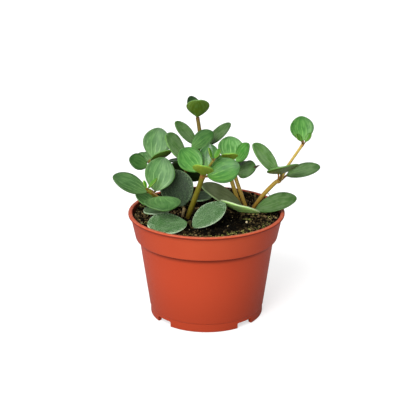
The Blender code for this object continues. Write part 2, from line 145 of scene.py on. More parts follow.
def spread(value, low, high, to_low=0.0, to_high=1.0):
    """Stretches the stretch from low to high over the one from to_low to to_high."""
    return put(
        value.id_data, "MapRange", {"interpolation_type": "SMOOTHSTEP"},
        Value=value, From_Min=low, From_Max=high, To_Min=to_low, To_Max=to_high,
    ).outputs["Result"]


def sums(kind, first, second=0.0):
    """One step of arithmetic on two values, of which at least one is a node's output."""
    tree = (first if isinstance(first, bpy.types.NodeSocket) else second).id_data
    return put(tree, "Math", {"operation": kind}, s0=first, s1=second).outputs["Value"]


def times(first, second):
    return sums("MULTIPLY", first, second)


def soft_noise(where, scale, detail, rough=0.5):
    """Soft noise from 0 to 1, with about scale lumps to a metre."""
    return put(
        where.id_data, "TexNoise", Vector=where, Scale=scale, Detail=detail, Roughness=rough
    ).outputs["Fac"]


def object_place(tree):
    return put(tree, "TexCoord").outputs["Object"]


def kept_facts(tree, name):
    """The three facts that a mesh keeps at each of its corners under this name."""
    facts = put(tree, "Attribute", {"attribute_name": name}).outputs["Vector"]
    return put(tree, "SeparateXYZ", Vector=facts).outputs


def new_group(name, gives, takes=()):
    """A node group, its input node and its output node. All its sockets are plain numbers."""
    group = bpy.data.node_groups.new(name, "ShaderNodeTree")
    for way, labels in (("INPUT", takes), ("OUTPUT", gives)):
        for label in labels:
            group.interface.new_socket(label, in_out=way, socket_type="NodeSocketFloat")
    return group, group.nodes.new("NodeGroupInput"), group.nodes.new("NodeGroupOutput")


def use_group(tree, group, **inputs):
    return put(tree, "Group", {"node_tree": group}, **inputs).outputs


def new_finish(name):
    made = bpy.data.materials.new(name)
    made.use_nodes = True
    return made, made.node_tree, made.node_tree.nodes["Principled BSDF"]


def dress(shader, colour, roughness, height, strength, depth, **plain):
    """The last step of a finish: colour, roughness, bumps depth mm high, and plain values."""
    bumps = put(shader.id_data, "Bump", Height=height, Strength=strength, Distance=depth * MM)
    fill(shader, Base_Color=colour, Roughness=roughness, Normal=bumps.outputs["Normal"], **plain)


# %% [markdown]
# ## The floor and the studio light
#
# The plant stands on a plain white floor under a bright, even sky of light, as in a light tent.
# One large soft lamp at the upper left of the viewer gives the pot its pale band and the young
# leaves their shine, and the right side falls into a gentle shade.

# %% The floor and the lights
FLOOR_SIZE = 12.0
FLOOR_DROP = 0.2 * MM
PAPER_GREY = 0.52
PAPER_GLOW = 0.62
BRIGHT_SIDE = (-0.42, -0.38, 0.82)

floor_bm = bmesh.new()
bmesh.ops.create_grid(floor_bm, x_segments=1, y_segments=1, size=FLOOR_SIZE / 2)
floor_mesh = bpy.data.meshes.new("floor")
floor_bm.to_mesh(floor_mesh)
floor_bm.free()
floor = add_to_scene("floor", floor_mesh)
floor.location.z = -FLOOR_DROP
paper, tree, shader = new_finish("white paper floor")
shader.inputs["Base Color"].default_value = (PAPER_GREY, PAPER_GREY, PAPER_GREY, 1.0)
seen = put(tree, "LightPath").outputs["Is Camera Ray"]
fill(
    shader, Roughness=0.9, Specular_IOR_Level=0.1, Emission_Color=seen,
    Emission_Strength=PAPER_GLOW,
)
floor_mesh.materials.append(paper)

world = bpy.data.worlds.new("light tent")
world.use_nodes = True
sky = world.node_tree
ray = put(sky, "TexCoord").outputs["Generated"]
facing = put(sky, "VectorMath", {"operation": "DOT_PRODUCT"}, s0=ray, s1=BRIGHT_SIDE)
towards_lamp = put(
    sky, "MapRange", Value=facing.outputs["Value"], From_Min=-0.6, To_Min=0.08, To_Max=0.85
)
fill(
    sky.nodes["Background"], Color=(255, 255, 255), Strength=towards_lamp.outputs["Result"]
)
bpy.context.scene.world = world


def soft_sun(name, tilt, turn, strength, width):
    """A far soft lamp: degrees down from straight above, degrees round from +X, and its width."""
    lamp = bpy.data.lights.new(name, "SUN")
    lamp.energy = strength
    lamp.angle = math.radians(width)
    made = add_to_scene(name, lamp)
    made.rotation_euler = (math.radians(tilt), 0.0, math.radians(turn + 90))
    print(name, "of strength", strength)


soft_sun("key lamp", 45, -118, 2.1, 32)
soft_sun("low front lamp", 74, -111, 0.95, 28)

# %% [markdown]
# ## Helpers that every piece uses
#
# A finished piece needs the same few things: its mesh in the shared frame, smooth shading, a
# material, the CAD nodes that it stands for and the body that it moves with. One helper does all
# of this, so that each later cell is only about its own shape.


# %% Finishing a piece
def finish_piece(name, bm, finish, nodes, smooth_levels=0, sharp=None):
    """Makes an object of a mesh in millimetres from the pot's axis, and rides it on root."""
    bmesh.ops.transform(bm, matrix=TO_FRAME, verts=bm.verts)
    mesh = bpy.data.meshes.new(name)
    bm.to_mesh(mesh)
    bm.free()
    mesh.shade_smooth()
    if sharp is not None:
        mesh.set_sharp_from_angle(angle=math.radians(sharp))
    mesh.materials.append(finish)
    piece = add_to_scene(name, mesh)
    if smooth_levels:
        rounding = piece.modifiers.new("rounding", "SUBSURF")
        rounding.levels = rounding.render_levels = smooth_levels
    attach(piece, "root")
    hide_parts(*nodes)


# %% [markdown]
# Stems, stalks, leaves and roots are all closed tubes whose cross-section changes along the
# way: round on a stalk, and a thin lens on a blade. One way to make such a tube is to extrude
# ring after ring. A quicker way is to make one flat grid, give each of its corners a place on the
# tube, weld the seam and fill the two ends. Each corner also keeps three facts about itself, such
# as how far along the leaf it is, for the materials to read.


# %% Rolling a grid into a tube
def rolled_tube(rings, facts_name):
    """A closed tube through rings of (place, facts) pairs, every ring with as many corners."""
    around = len(rings[0])
    bm = bmesh.new()
    facts = bm.verts.layers.float_vector.new(facts_name)
    bmesh.ops.create_grid(bm, x_segments=around, y_segments=len(rings) - 1, size=1.0)
    bm.verts.ensure_lookup_table()
    seam = {}
    for number, vert in enumerate(bm.verts):
        row, column = divmod(number, around + 1)
        vert.co, vert[facts] = rings[row][column % around]
        if column == around:
            seam[vert] = bm.verts[number - around]
    bmesh.ops.weld_verts(bm, targetmap=seam)
    bmesh.ops.edgeloop_fill(bm, edges=[edge for edge in bm.edges if edge.is_boundary])
    bmesh.ops.recalc_face_normals(bm, faces=bm.faces)
    return bm


def circle(sides):
    """The cosine and sine of each corner of a ring."""
    angles = [math.tau * step / sides for step in range(sides)]
    return [(math.cos(angle), math.sin(angle)) for angle in angles]


def smooth_route(points, steps):
    """Catmull-Rom points through points of any length, with steps pieces between each two."""
    points = [Vector(point) for point in points]
    route = []
    for index in range(len(points) - 1):
        before = points[max(index - 1, 0)]
        start, end = points[index], points[index + 1]
        after = points[min(index + 2, len(points) - 1)]
        for step in range(steps):
            t = step / steps
            route.append(
                0.5 * (2 * start + (end - before) * t)
                + 0.5 * (2 * before - 5 * start + 4 * end - after) * t * t
                + 0.5 * (3 * start - before - 3 * end + after) * t * t * t
            )
    route.append(points[-1])
    return route


def headings(route):
    """Which way a route goes at each of its points."""
    last = len(route) - 1
    return [route[min(at + 1, last)] - route[max(at - 1, 0)] for at in range(last + 1)]


def ease(low, high, value):
    """0 below low, 1 above high, and a smooth step between them."""
    share = min(max((value - low) / (high - low), 0.0), 1.0)
    return share * share * (3 - 2 * share)


# %% [markdown]
# ## Two groups that most finishes share
#
# Real surfaces are never one flat colour. The first group gives soft cloudy patches and a fine
# grain at a size that each finish chooses. It reads Object coordinates, which here are metres in
# the shared frame, so the pattern keeps its real size on every piece.

# %% The mottle group
mottle, inside, out = new_group(
    "mottle", gives=("Clouds", "Grain"), takes=("Cloud size mm", "Grain size mm")
)
place = object_place(mottle)
cloud_scale = sums("DIVIDE", 1 / MM, inside.outputs["Cloud size mm"])
grain_scale = sums("DIVIDE", 1 / MM, inside.outputs["Grain size mm"])
clouds = soft_noise(place, cloud_scale, 2.0, 0.55)
grain = soft_noise(place, grain_scale, 1.5, 0.6)
fill(out, Clouds=spread(clouds, 0.3, 0.7), Grain=spread(grain, 0.3, 0.7))
print("group", mottle.name, "with", len(mottle.nodes), "nodes")

# %% [markdown]
# The second group knows a leaf. Each corner of a leaf keeps how far along the blade it is, how
# far across, and whether it is on the upper or the lower face. From these the group draws the
# main vein, two pairs of side veins that fan out from the base and meet again at the tip, the thin
# rim, and where the stalk begins.

# %% The leaf group
VEIN_STOPS = (
    (0.0, 1.0), (0.03, 0.6), (0.07, 0.0), (0.31, 0.0), (0.36, 0.9), (0.41, 0.0),
    (0.66, 0.0), (0.71, 0.7), (0.76, 0.0),
)

leaf_map, _, out = new_group(
    "leaf map", gives=("Veins", "Streaks", "Rim", "Underside", "Stalk", "Base glow", "Edge shade")
)
along, across, face = kept_facts(leaf_map, "blade")
place = object_place(leaf_map)
wobble = soft_noise(place, 140.0, 1.0)
wander = times(sums("SUBTRACT", wobble, 0.5), 0.3)
side = sums("ABSOLUTE", sums("ADD", across, wander))
lines = put(leaf_map, "ValToRGB", s0=side)
lines.color_ramp.interpolation = "EASE"
while len(lines.color_ramp.elements) < len(VEIN_STOPS):
    lines.color_ramp.elements.new(0.5)
for element, (reach, bright) in zip(lines.color_ramp.elements, VEIN_STOPS):
    element.position = reach
    element.color = (bright, bright, bright, 1.0)
patchy = spread(soft_noise(place, 330.0, 1.0), 0.35, 0.6, 0.4, 1.0)
fading = times(spread(along, 0.95, 0.15), patchy)
fan = put(
    leaf_map, "CombineXYZ",
    X=times(along, 1.6), Y=times(across, 4.5), Z=times(wobble, 2.0),
)
streaks = soft_noise(fan.outputs["Vector"], 1.6, 2.0)
bare_side = sums("ABSOLUTE", across)


def outer_part(side_start, side_end, tip_start, tip_end):
    """The part of a blade near its side edges or near its tip."""
    by_side = spread(bare_side, side_start, side_end)
    return sums("MAXIMUM", by_side, spread(along, tip_start, tip_end))


fill(
    out,
    Veins=times(lines.outputs["Color"], fading),
    Streaks=spread(streaks, 0.35, 0.68),
    # The rim's paler colour is partly a pale edge and partly a painted highlight.
    Rim=outer_part(0.92, 0.975, 0.972, 0.995),
    Underside=spread(face, 0.1, -0.25),
    Stalk=spread(along, 0.035, -0.03),
    # A paler base, partly the leaf's own colour and partly a painted highlight.
    Base_glow=spread(along, 0.5, 0.02),
    Edge_shade=outer_part(0.55, 1.0, 0.75, 1.0),
)
print("group", leaf_map.name, "with", len(leaf_map.nodes), "nodes")

# %% [markdown]
# ## Leaf finishes
#
# Leaves of one plant differ with age. Young ones are bright and glossy, grown ones are greyer
# and duller, and the oldest near the soil are dull and finely speckled. One function makes them
# all from a few chosen colours, so that they stay one family.

# %% The leaf finish
# The colour of pale waxy bloom, partly a painted sheen.
BLOOM_AND_SHEEN_COLOUR = (150, 166, 140)


def leaf_finish(name, top, vein, shade, under, stalk, rim, rough, coat, speckle, glow, bloom_and_sheen):
    """A fleshy leaf: colours for the upper face, its veins, its darker edge, the underside, the
    stalk and the rim, whose pale colour partly paints a highlight, then how rough, how waxy, how
    speckled, how bright at the base, partly a painted highlight, and how greyed it is by its waxy
    bloom and a painted sheen."""
    made, tree, shader = new_finish(name)
    leaf = use_group(tree, leaf_map)
    patches = use_group(tree, mottle, Cloud_size_mm=6.0, Grain_size_mm=0.75)
    dots = spread(patches["Grain"], 0.5, 0.72)
    edgy = spread(leaf["Edge shade"], 0.0, 1.0, 0.3 * speckle, speckle)
    face = coats(
        top,
        (times(leaf["Edge shade"], 0.85), shade),
        (times(patches["Clouds"], 0.42), shade),
        # painted highlight: the paler base, partly the young leaf's own colour
        (times(leaf["Base glow"], glow), vein),
        (times(leaf["Streaks"], 0.24), vein),
        (times(leaf["Veins"], 0.8), vein),
        (times(spread(patches["Clouds"], 0.9, 0.1), bloom_and_sheen), BLOOM_AND_SHEEN_COLOUR),
        (times(dots, edgy), rim),
    )
    back = coats(
        under,
        (times(leaf["Streaks"], 0.12), vein),
        (times(patches["Clouds"], 0.3), shade),
    )
    both = coats(
        face,
        # painted highlight: the pale rim colour, partly the leaf's own paler edge
        (leaf["Underside"], back), (times(leaf["Rim"], 0.7), rim), (leaf["Stalk"], stalk),
    )
    # Painted light and shade: each leaf's tone multiplies its colour, and it is partly the leaf's
    # own colour.
    tone_and_light = put(tree, "Attribute", {"attribute_name": "tone_and_light"}).outputs["Color"]
    toning = {"data_type": "RGBA", "blend_type": "MULTIPLY"}
    dress(
        shader,
        colour=put(tree, "Mix", toning, s0=1.0, s6=both, s7=tone_and_light).outputs[2],
        roughness=spread(patches["Grain"], 0.0, 1.0, rough - 0.08, rough + 0.08),
        height=sums("SUBTRACT", times(patches["Grain"], 0.25), leaf["Veins"]),
        strength=0.3, depth=0.12, Subsurface_Weight=0.08, Subsurface_Radius=(0.4, 1.0, 0.2),
        Subsurface_Scale=1.0 * MM, Coat_Weight=coat, Coat_Roughness=0.22,
        Specular_IOR_Level=0.22,
    )
    return made


# Six colours and five values for each finish, in the order that leaf_finish takes them.
LEAF_LOOKS = {
    "fresh": (
        (69, 133, 50), (142, 200, 102), (36, 90, 26), (104, 124, 30), (128, 88, 36),
        (76, 132, 48), 0.40, 0.16, 0.0, 0.26, 0.02,
    ),
    "deep green": (
        (54, 129, 30), (136, 200, 84), (28, 88, 14), (84, 112, 24), (120, 86, 34),
        (66, 124, 36), 0.42, 0.12, 0.0, 0.24, 0.0,
    ),
    # Its pale veins and strong bright base partly paint the leaf's glossy highlights.
    "shiny": (
        (52, 124, 42), (158, 212, 122), (26, 84, 20), (84, 112, 30), (120, 88, 36),
        (120, 172, 90), 0.34, 0.36, 0.0, 0.5, 0.0,
    ),
    "lime": (
        (98, 156, 60), (150, 204, 104), (66, 124, 40), (120, 138, 38), (138, 96, 40),
        (92, 138, 52), 0.42, 0.12, 0.0, 0.20, 0.02,
    ),
    "young": (
        (71, 124, 56), (150, 198, 120), (40, 84, 32), (76, 96, 14), (108, 82, 28),
        (88, 130, 66), 0.44, 0.16, 0.08, 0.24, 0.06,
    ),
    "grown": (
        (72, 110, 52), (118, 152, 90), (48, 84, 34), (80, 104, 26), (120, 80, 36),
        (70, 104, 48), 0.50, 0.06, 0.12, 0.10, 0.12,
    ),
    "old": (
        (58, 94, 48), (88, 128, 76), (46, 80, 40), (84, 120, 54), (62, 54, 24),
        (184, 208, 172), 0.54, 0.05, 0.44, 0.04, 0.06,
    ),
    # The dark look is partly painted shade: besides dark old leaves it darkens tall_low_far, which
    # hangs in shade.
    "dark": (
        (20, 44, 16), (50, 80, 40), (34, 60, 28), (40, 58, 16), (84, 70, 32),
        (140, 170, 124), 0.54, 0.04, 0.44, 0.0, 0.02,
    ),
    "tired": (
        (84, 94, 60), (108, 124, 82), (66, 76, 48), (112, 146, 80), (104, 84, 40),
        (124, 146, 100), 0.54, 0.04, 0.16, 0.0, 0.08,
    ),
    # A brighter copy of the tired look, for old_near: painted light on a leaf that lies in shade.
    "brightened_tired": (
        (132, 148, 94), (150, 172, 118), (104, 120, 76), (175, 222, 124), (150, 124, 64),
        (140, 154, 122), 0.54, 0.04, 0.16, 0.0, 0.08,
    ),
    "bud": (
        (80, 146, 36), (124, 180, 60), (52, 108, 24), (76, 112, 28), (124, 92, 28),
        (136, 172, 60), 0.38, 0.15, 0.0, 0.30, 0.0,
    ),
}
LEAF_FINISHES = {look: leaf_finish(look + " leaf", *row) for look, row in LEAF_LOOKS.items()}
print("leaf finishes:", ", ".join(LEAF_FINISHES))

# %% [markdown]
# ## Where the stems go
#
# Each stem names its finish, then its whorls of leaves and which of its points each one is at,
# and then its points, each with a radius, in millimetres from the pot's axis. They are the same
# numbers as the CAD model has, so the finer stems fill the same places.

# %% The stems' routes
STEMS = {
    "stem_front": ("olive stem", {"front": 4, "front_tip": 6}, (
        (-13.0, -1.6, 63.5, 1.6), (-12.9, -1.8, 69.0, 1.65), (-9.2, -6.0, 81.0, 1.9),
        (-5.2, -11.0, 94.0, 1.8), (-2.3, -14.0, 103.2, 1.8), (0.3, -14.4, 107.5, 0.9),
        (4.6, -14.0, 114.0, 0.9),
    )),
    "stem_tall": ("brown stem", {"tall_low": 4, "tall_middle": 6, "tall_top": 8, "tall_foot": 2}, (
        (-19.4, 30.4, 63.5, 1.4), (-19.2, 30.0, 69.0, 1.4), (-18.8, 29.8, 72.6, 1.5),
        (-15.3, 28.0, 91.5, 1.3), (-12.0, 26.0, 101.5, 1.6), (-7.6, 24.0, 108.0, 1.25),
        (-4.5, 22.5, 113.0, 1.55), (-4.8, 24.0, 123.6, 1.45), (-6.3, 25.0, 134.0, 1.3),
    )),
    "stem_left_front": ("olive stem", {
        "left_front": 4, "left_front_tip": 5, "left_front_low": 2,
    }, (
        (-29.0, 10.4, 63.5, 1.3), (-29.0, 10.0, 69.0, 1.3), (-31.0, 7.0, 76.0, 1.5),
        (-35.5, 1.0, 83.5, 1.3), (-38.0, -2.0, 88.0, 1.6), (-41.0, -3.5, 90.5, 0.9),
    )),
    "stem_left_back": ("brown stem", {"left_back": 3}, (
        (-27.6, 25.4, 63.5, 1.3), (-27.8, 25.0, 69.0, 1.3), (-32.5, 22.5, 88.0, 1.25),
        (-38.8, 19.0, 103.0, 1.5), (-39.4, 18.7, 104.4, 1.2),
    )),
    "stem_right_tall": ("golden stem", {"right_tall": 3}, (
        (24.6, 18.7, 63.5, 1.4), (24.4, 18.4, 69.0, 1.4), (17.4, 16.0, 90.8, 1.55),
        (17.0, 14.0, 102.0, 1.5),
    )),
    "stem_right_short": ("golden stem", {"right_short": 3}, (
        (28.4, 16.4, 63.5, 1.4), (28.2, 16.4, 69.0, 1.4), (20.6, 19.2, 91.0, 1.45),
        (19.3, 20.0, 98.4, 1.5),
    )),
    "stem_right": ("golden stem", {"right": 4, "right_tip": 7}, (
        (31.6, 13.4, 63.5, 1.4), (31.8, 13.4, 69.0, 1.4), (39.4, 12.8, 80.5, 1.55),
        (47.8, 11.0, 90.5, 1.5), (50.7, 10.0, 92.7, 1.6), (55.6, 9.0, 102.5, 1.05),
        (62.0, 8.0, 113.0, 1.0), (65.9, 7.0, 119.5, 1.1),
    )),
    "stem_stub": ("dry stub", {"stub": 2}, (
        (-16.8, 0.2, 63.5, 1.1), (-16.6, 0.8, 69.0, 1.1), (-15.4, 3.6, 74.4, 1.1),
    )),
    "stem_runner": ("buried stem", {"runner": 2}, (
        (-11.2, -15.0, 63.5, 1.3), (-11.2, -15.2, 69.0, 1.3), (-11.2, -16.2, 71.6, 1.4),
    )),
    "stem_low_right": ("olive stem", {"low_right": 2}, (
        (26.2, 10.4, 63.5, 1.3), (26.1, 10.0, 69.0, 1.3), (25.8, 9.0, 72.0, 1.4),
    )),
}
WHORLS = {
    whorl: points[index]
    for _, whorls, points in STEMS.values() for whorl, index in whorls.items()
}
print(len(WHORLS), "whorls of leaves")

# %% [markdown]
# ## Stem finish
#
# A peperomia's stem is smooth and a little see-through: olive or golden between the whorls and
# red-brown where leaves grow. The material reads how far each corner is from the nearest whorl
# and how far up the stem it is, both kept on the mesh, and adds fine lengthwise streaks.

# %% The stem finish
FOOT_COLOUR = (112, 66, 26)


def stem_finish(name, low, high, joint, spot_tint, rough):
    """A fleshy stem: colours low and high on it, at a whorl and of a whorl's spots, and how
    rough it is."""
    made, tree, shader = new_finish(name)
    height, apart, turn = kept_facts(tree, "grown")
    fibres = put(tree, "CombineXYZ", X=times(turn, 9.0), Y=times(height, 3.0))
    streaks = soft_noise(fibres.outputs["Vector"], 1.0, 2.0)
    patches = use_group(tree, mottle, Cloud_size_mm=3.5, Grain_size_mm=0.4)
    spots = use_group(tree, mottle, Cloud_size_mm=1.6, Grain_size_mm=0.9)
    near_whorl = spread(apart, 2.6, 0.4)
    warm = times(near_whorl, spread(spots["Grain"], 0.6, 0.85))
    colour = coats(
        low,
        (spread(height, 0.1, 0.9), high),
        (spread(streaks, 0.35, 0.7, 0.0, 0.35), low),
        (spread(height, 0.30, 0.08, 0.0, 0.6), FOOT_COLOUR),
        (times(near_whorl, 0.3), joint),
        (times(warm, 0.8), spot_tint),
        (spread(patches["Grain"], 0.6, 0.9, 0.0, 0.25), joint),
    )
    dress(
        shader, colour,
        roughness=spread(patches["Clouds"], 0.0, 1.0, rough - 0.06, rough + 0.08),
        height=streaks, strength=0.3, depth=0.1, Subsurface_Weight=0.12,
        Subsurface_Radius=(1.0, 0.7, 0.2), Subsurface_Scale=1.0 * MM, Coat_Weight=0.12,
        Coat_Roughness=0.3, Specular_IOR_Level=0.35,
    )
    return made


# Four colours and a roughness for each finish, in the order that stem_finish takes them.
STEM_LOOKS = {
    "olive stem": ((114, 106, 30), (124, 118, 28), (92, 62, 22), (184, 88, 40), 0.40),
    "brown stem": ((98, 84, 22), (112, 92, 24), (88, 58, 22), (172, 80, 36), 0.42),
    "golden stem": ((160, 126, 42), (204, 176, 88), (112, 74, 28), (158, 84, 40), 0.36),
    "buried stem": ((34, 26, 14), (62, 48, 24), (46, 34, 16), (70, 48, 28), 0.7),
    "dry stub": ((104, 78, 48), (128, 112, 72), (150, 140, 96), (140, 98, 68), 0.7),
}
STEM_FINISHES = {name: stem_finish(name, *row) for name, row in STEM_LOOKS.items()}
print("stem finishes:", ", ".join(STEM_FINISHES))

# %% [markdown]
# ## Stem shapes
#
# Each stem follows a smooth curve through its points. It swells a little at each whorl, and its
# section isn't quite round, because fleshy stems wrinkle slightly. The two ends are closed.

# %% The stems
STEM_AROUND = 14
STEM_STEPS = 7
SWELLING = 0.14
SWELLING_REACH = 1.5
PAST_WHORL = 3.0
WRINKLES = 0.05
NO_WHORL = 99.0
SHOOT_TIPS = ("front_tip", "left_front_tip")


def stem_rings(points, whorls):
    """Rings along one stem, with (share of the height, distance to the nearest whorl, turn)."""
    route = smooth_route(points, STEM_STEPS)
    middles = [Vector(point[:3]) for point in route]
    rings = []
    aside = Vector((1.0, 0.0, 0.0))
    for index, (middle, ahead) in enumerate(zip(middles, headings(middles))):
        ahead.normalize()
        aside = (aside - ahead * aside.dot(ahead)).normalized()
        other = ahead.cross(aside)
        apart = NO_WHORL
        for whorl in whorls:
            past = (middle - whorl).dot(ahead) > 0
            apart = min(apart, (middle - whorl).length * (PAST_WHORL if past else 1.0))
        swell = 1 + SWELLING * math.exp(-((apart / SWELLING_REACH) ** 2))
        share = index / (len(middles) - 1)
        ring = []
        for over, round_it in circle(STEM_AROUND):
            out = aside * over + other * round_it
            wrinkle = 1 + WRINKLES * noise.noise(middle * 0.35 + out * 0.9)
            spot = middle + out * (route[index][3] * swell * wrinkle)
            ring.append((spot, Vector((share, apart, over))))
        rings.append(ring)
    return rings


for stem_name, (look, places, points) in STEMS.items():
    whorls = [
        Vector(points[index][:3]) for whorl, index in places.items() if whorl not in SHOOT_TIPS
    ]
    stem_bm = rolled_tube(stem_rings(points, whorls), "grown")
    finish_piece("grown_" + stem_name, stem_bm, STEM_FINISHES[look], [stem_name], 1)
print(len(STEMS), "stems")

# %% [markdown]
# ## Where the leaves go
#
# Under each whorl are its leaves, by the names of their CAD nodes without leaf_ before them. A row
# gives where a leaf's blade starts from the middle of the whorl, the blade's azimuth, rise and
# roll in degrees, its length and width in millimetres, how far its edges cup up and its length
# curls up in degrees, its finish, and its tone, which is partly the leaf's own colour and partly
# painted light and shade that brightens or darkens the whole leaf.

# %% The leaves' places
LEAVES = {
    "front": {
        "front_left": ((-2.0, 1.0, 3.1), 158, 45, 45, 19.5, 18, 20, 10, "fresh", 1.0),
        "front_right": ((2.9, -1.4, 0.2), 6, 18, -50, 23, 18.5, 15, 10, "deep green", 0.8),
        "front_back": ((3.2, 4.2, 4.2), 80, 57, 0, 17, 15, 25, 15, "shiny", 0.65),
        "front_near": ((-0.3, -3.0, 2.4), -87, 38, 12, 15, 15, 25, 15, "lime", 1.4),
    },
    "front_tip": {
        "front_bud_left": ((-0.9, 0.7, 1.3), 160, 72, 0, 7.5, 4.6, 30, 20, "bud", 0.9),
        "front_bud_right": ((1.0, 0.8, 1.2), 50, 50, 0, 7.5, 5, 30, 20, "bud", 0.8),
    },
    "left_front": {
        "left_front_left": ((-2.8, -0.5, 0.2), -172, 28, 40, 26, 15.5, 10, -10, "young", 0.7),
        "left_front_up": ((2.7, 4.0, -0.6), 50, 66, -35, 24, 21.5, 15, 10, "young", 1.0),
        "left_front_near": ((5.4, -5.0, -2.2), -75, -4, 0, 24, 25, 10, -10, "young", 0.85),
    },
    "left_front_tip": {
        "left_front_bud_left": ((0.2, -1.2, 1.4), 170, 70, 20, 5.5, 3.2, 30, 20, "bud", 1.25),
        "left_front_bud_right": ((1.2, -0.5, 1.0), 20, 45, 0, 9, 5, 30, 20, "bud", 0.85),
    },
    "left_front_low": {
        "left_low": ((-5.5, -3.6, 2.6), -170, 30, 32, 14.5, 14, 10, 0, "young", 1.25),
        "left_low_near": ((5.0, -6.5, -1.6), -150, 3, 3, 19, 18, 10, 0, "old", 0.9),
    },
    "left_back": {
        "left_back_up": ((1.6, 2.2, 2.0), 52, 70, -30, 22, 20, 15, 5, "young", 0.9),
        "left_back_near": ((0.2, -3.6, 1.4), -12, 32, 26, 17, 15.5, 15, 10, "young", 1.35),
        "left_back_left": ((-2.6, -0.8, -2.5), -168, 25, 35, 14, 15, 15, 0, "fresh", 0.5),
        "left_back_far": ((-2.2, 4.4, -1.4), 105, 12, 0, 15, 14, 15, 0, "young", 1.0),
    },
    "tall_low": {
        "tall_low_left": ((-2.2, -1.4, 2.8), -155, 49, 37, 24, 22, 10, 0, "grown", 1.9),
        "tall_low_edge": ((-3.5, 1.6, -0.6), 160, -2, -5, 12, 14, 10, 0, "deep green", 0.35),
        "tall_low_near": ((1.2, -3.0, -0.4), -48, -8, 0, 13, 12, 10, 0, "grown", 0.8),
        "tall_low_far": ((1.4, 3.6, -4.2), 139, -49, -50, 16.5, 25, 12, 0, "dark", 0.9),
    },
    "tall_middle": {
        "tall_middle_left": ((-2.6, 1.2, 1.8), -175, 48, 33, 22, 13, 10, 0, "grown", 1.2),
        "tall_middle_right": ((4.6, 2.0, 0.5), 6, 43, -22, 23, 12.5, 10, 0, "grown", 0.85),
        "tall_middle_near": ((-5.6, -7.6, 1.4), 8, 36, -30, 18.5, 16.5, 15, 5, "fresh", 0.55),
        "tall_middle_far": ((0.5, 3.2, 0.5), 95, 8, 0, 16, 15, 12, 0, "grown", 1.0),
    },
    "tall_top": {
        "tall_top_near": ((0.2, -3.0, 1.2), -86, 54, 0, 17, 17, 35, 10, "young", 1.3),
        "tall_top_far": ((-1.0, 2.6, 1.9), 125, 58, 0, 13, 10.5, 25, 0, "fresh", 0.25),
    },
    "right_tall": {
        "right_tall_up": ((0.2, 2.6, 2.6), 98, 64, -5, 17.5, 19, 20, 0, "young", 1.5),
        "right_tall_fold": ((3.9, 0.5, 2.4), -5, 58, -35, 16, 14, 25, 10, "fresh", 1.0),
        "right_tall_near": ((-0.5, -4.0, 5.6), -97, 34, -5, 13, 12, 25, 10, "lime", 1.8),
        "right_tall_left": ((-4.0, 0.5, 1.6), 180, 30, 10, 13, 12, 20, 0, "young", 1.0),
    },
    "right_short": {
        "right_short_right": ((2.6, -2.8, -2.8), -22, 22, -30, 14.5, 17.5, 10, -10, "grown", 1.15),
        "right_short_far": ((3.4, 3.6, -0.6), 48, 4, 0, 13, 12, 10, 0, "dark", 1.0),
    },
    "right": {
        "right_left": ((-1.2, -0.9, 5.8), -170, 49, 35, 28, 17.5, 10, -5, "grown", 1.7),
        "right_near": ((1.0, -4.4, 6.4), -88, 30, -12, 20, 23, 15, 10, "young", 1.1),
        "right_right": ((4.8, -0.3, 3.4), -2, 16, -22, 24, 15, 10, -10, "grown", 0.9),
        "right_far": ((1.5, 3.5, 6.0), 88, -10, 0, 17, 15, 12, 0, "grown", 1.0),
    },
    "right_tip": {
        "right_tip_up": ((0.0, 2.0, 1.7), 106, 72, 10, 17, 17, 20, 5, "fresh", 0.95),
        "right_tip_left": ((-1.2, -0.8, 2.2), 150, 50, 20, 6, 4.5, 30, 20, "bud", 0.6),
        "right_tip_right": ((1.4, -0.8, 1.7), 28, 54, -20, 7.5, 4.4, 30, 20, "bud", 0.7),
    },
    "stub": {
        "old_up": ((-1.1, 4.4, -0.4), 135, 64, 40, 27, 24, 10, -5, "dark", 0.85),
    },
    "runner": {
        "old_rim": ((-2.1, -4.8, 0.9), -156, 3, 21, 28, 22, 8, -8, "old", 1.3),
        "old_front": ((2.3, -9.8, -0.6), 31, 27, -22, 28, 18, 8, -8, "old", 1.0),
    },
    "tall_foot": {
        "old_far": ((5.6, -2.3, 1.2), -18, 7, -8, 18, 17, 8, -8, "dark", 1.0),
    },
    "low_right": {
        "old_long": ((-1.2, 2.6, 1.0), -166, 31, 26, 34, 19, 10, -10, "tired", 1.5),
        "old_near": ((-2.6, -8.0, 1.2), -93, 28, 16, 24, 29, 12, 5, "brightened_tired", 1.65),
        "old_right": ((8.4, -4.4, 0.8), -8, 19, -20, 30, 20, 10, -12, "grown", 1.0),
    },
}

# %% [markdown]
# ## Leaf shapes
#
# A leaf is one body from the foot of its stalk to its tip. The stalk is round. Where the blade
# starts, the round section flattens into a lens about a millimetre thick with rounded edges, as
# fleshy leaves have. The blade cups a little across and curls a little along its length, and a
# slow wave keeps it from looking cut from sheet.

# %% The leaf's cross-sections
LEAF_AROUND = 36
LEAF_ROWS = 22
STALK_ROWS = 5
BLADE_THICK = 1.15
BLADE_START = 2.2
EDGE_ROUND = 0.55
KEEL = 0.4
KEEL_REACH = 1.1
FURROW = 0.16
FURROW_REACH = 1.0
TIP_SHARE = 0.997
STALK_RADIUS = 0.8
BUD_STALK_RADIUS = 0.48
STALK_DEPTH = 0.35
BUD_WIDTH = 8.0
WAVE = 0.45


def rounded(inward):
    """How full the blade is at a distance in from its edge, in millimetres: a quarter circle."""
    left = 1 - min(max(inward, 0.0), EDGE_ROUND) / EDGE_ROUND
    return math.sqrt(max(1 - left * left, 0.0))


def blade_half_width(share, width):
    """An oval outline that is widest just past its middle."""
    return 0.5 * width * max(math.sin(math.pi * share**1.08), 0.0) ** 0.56


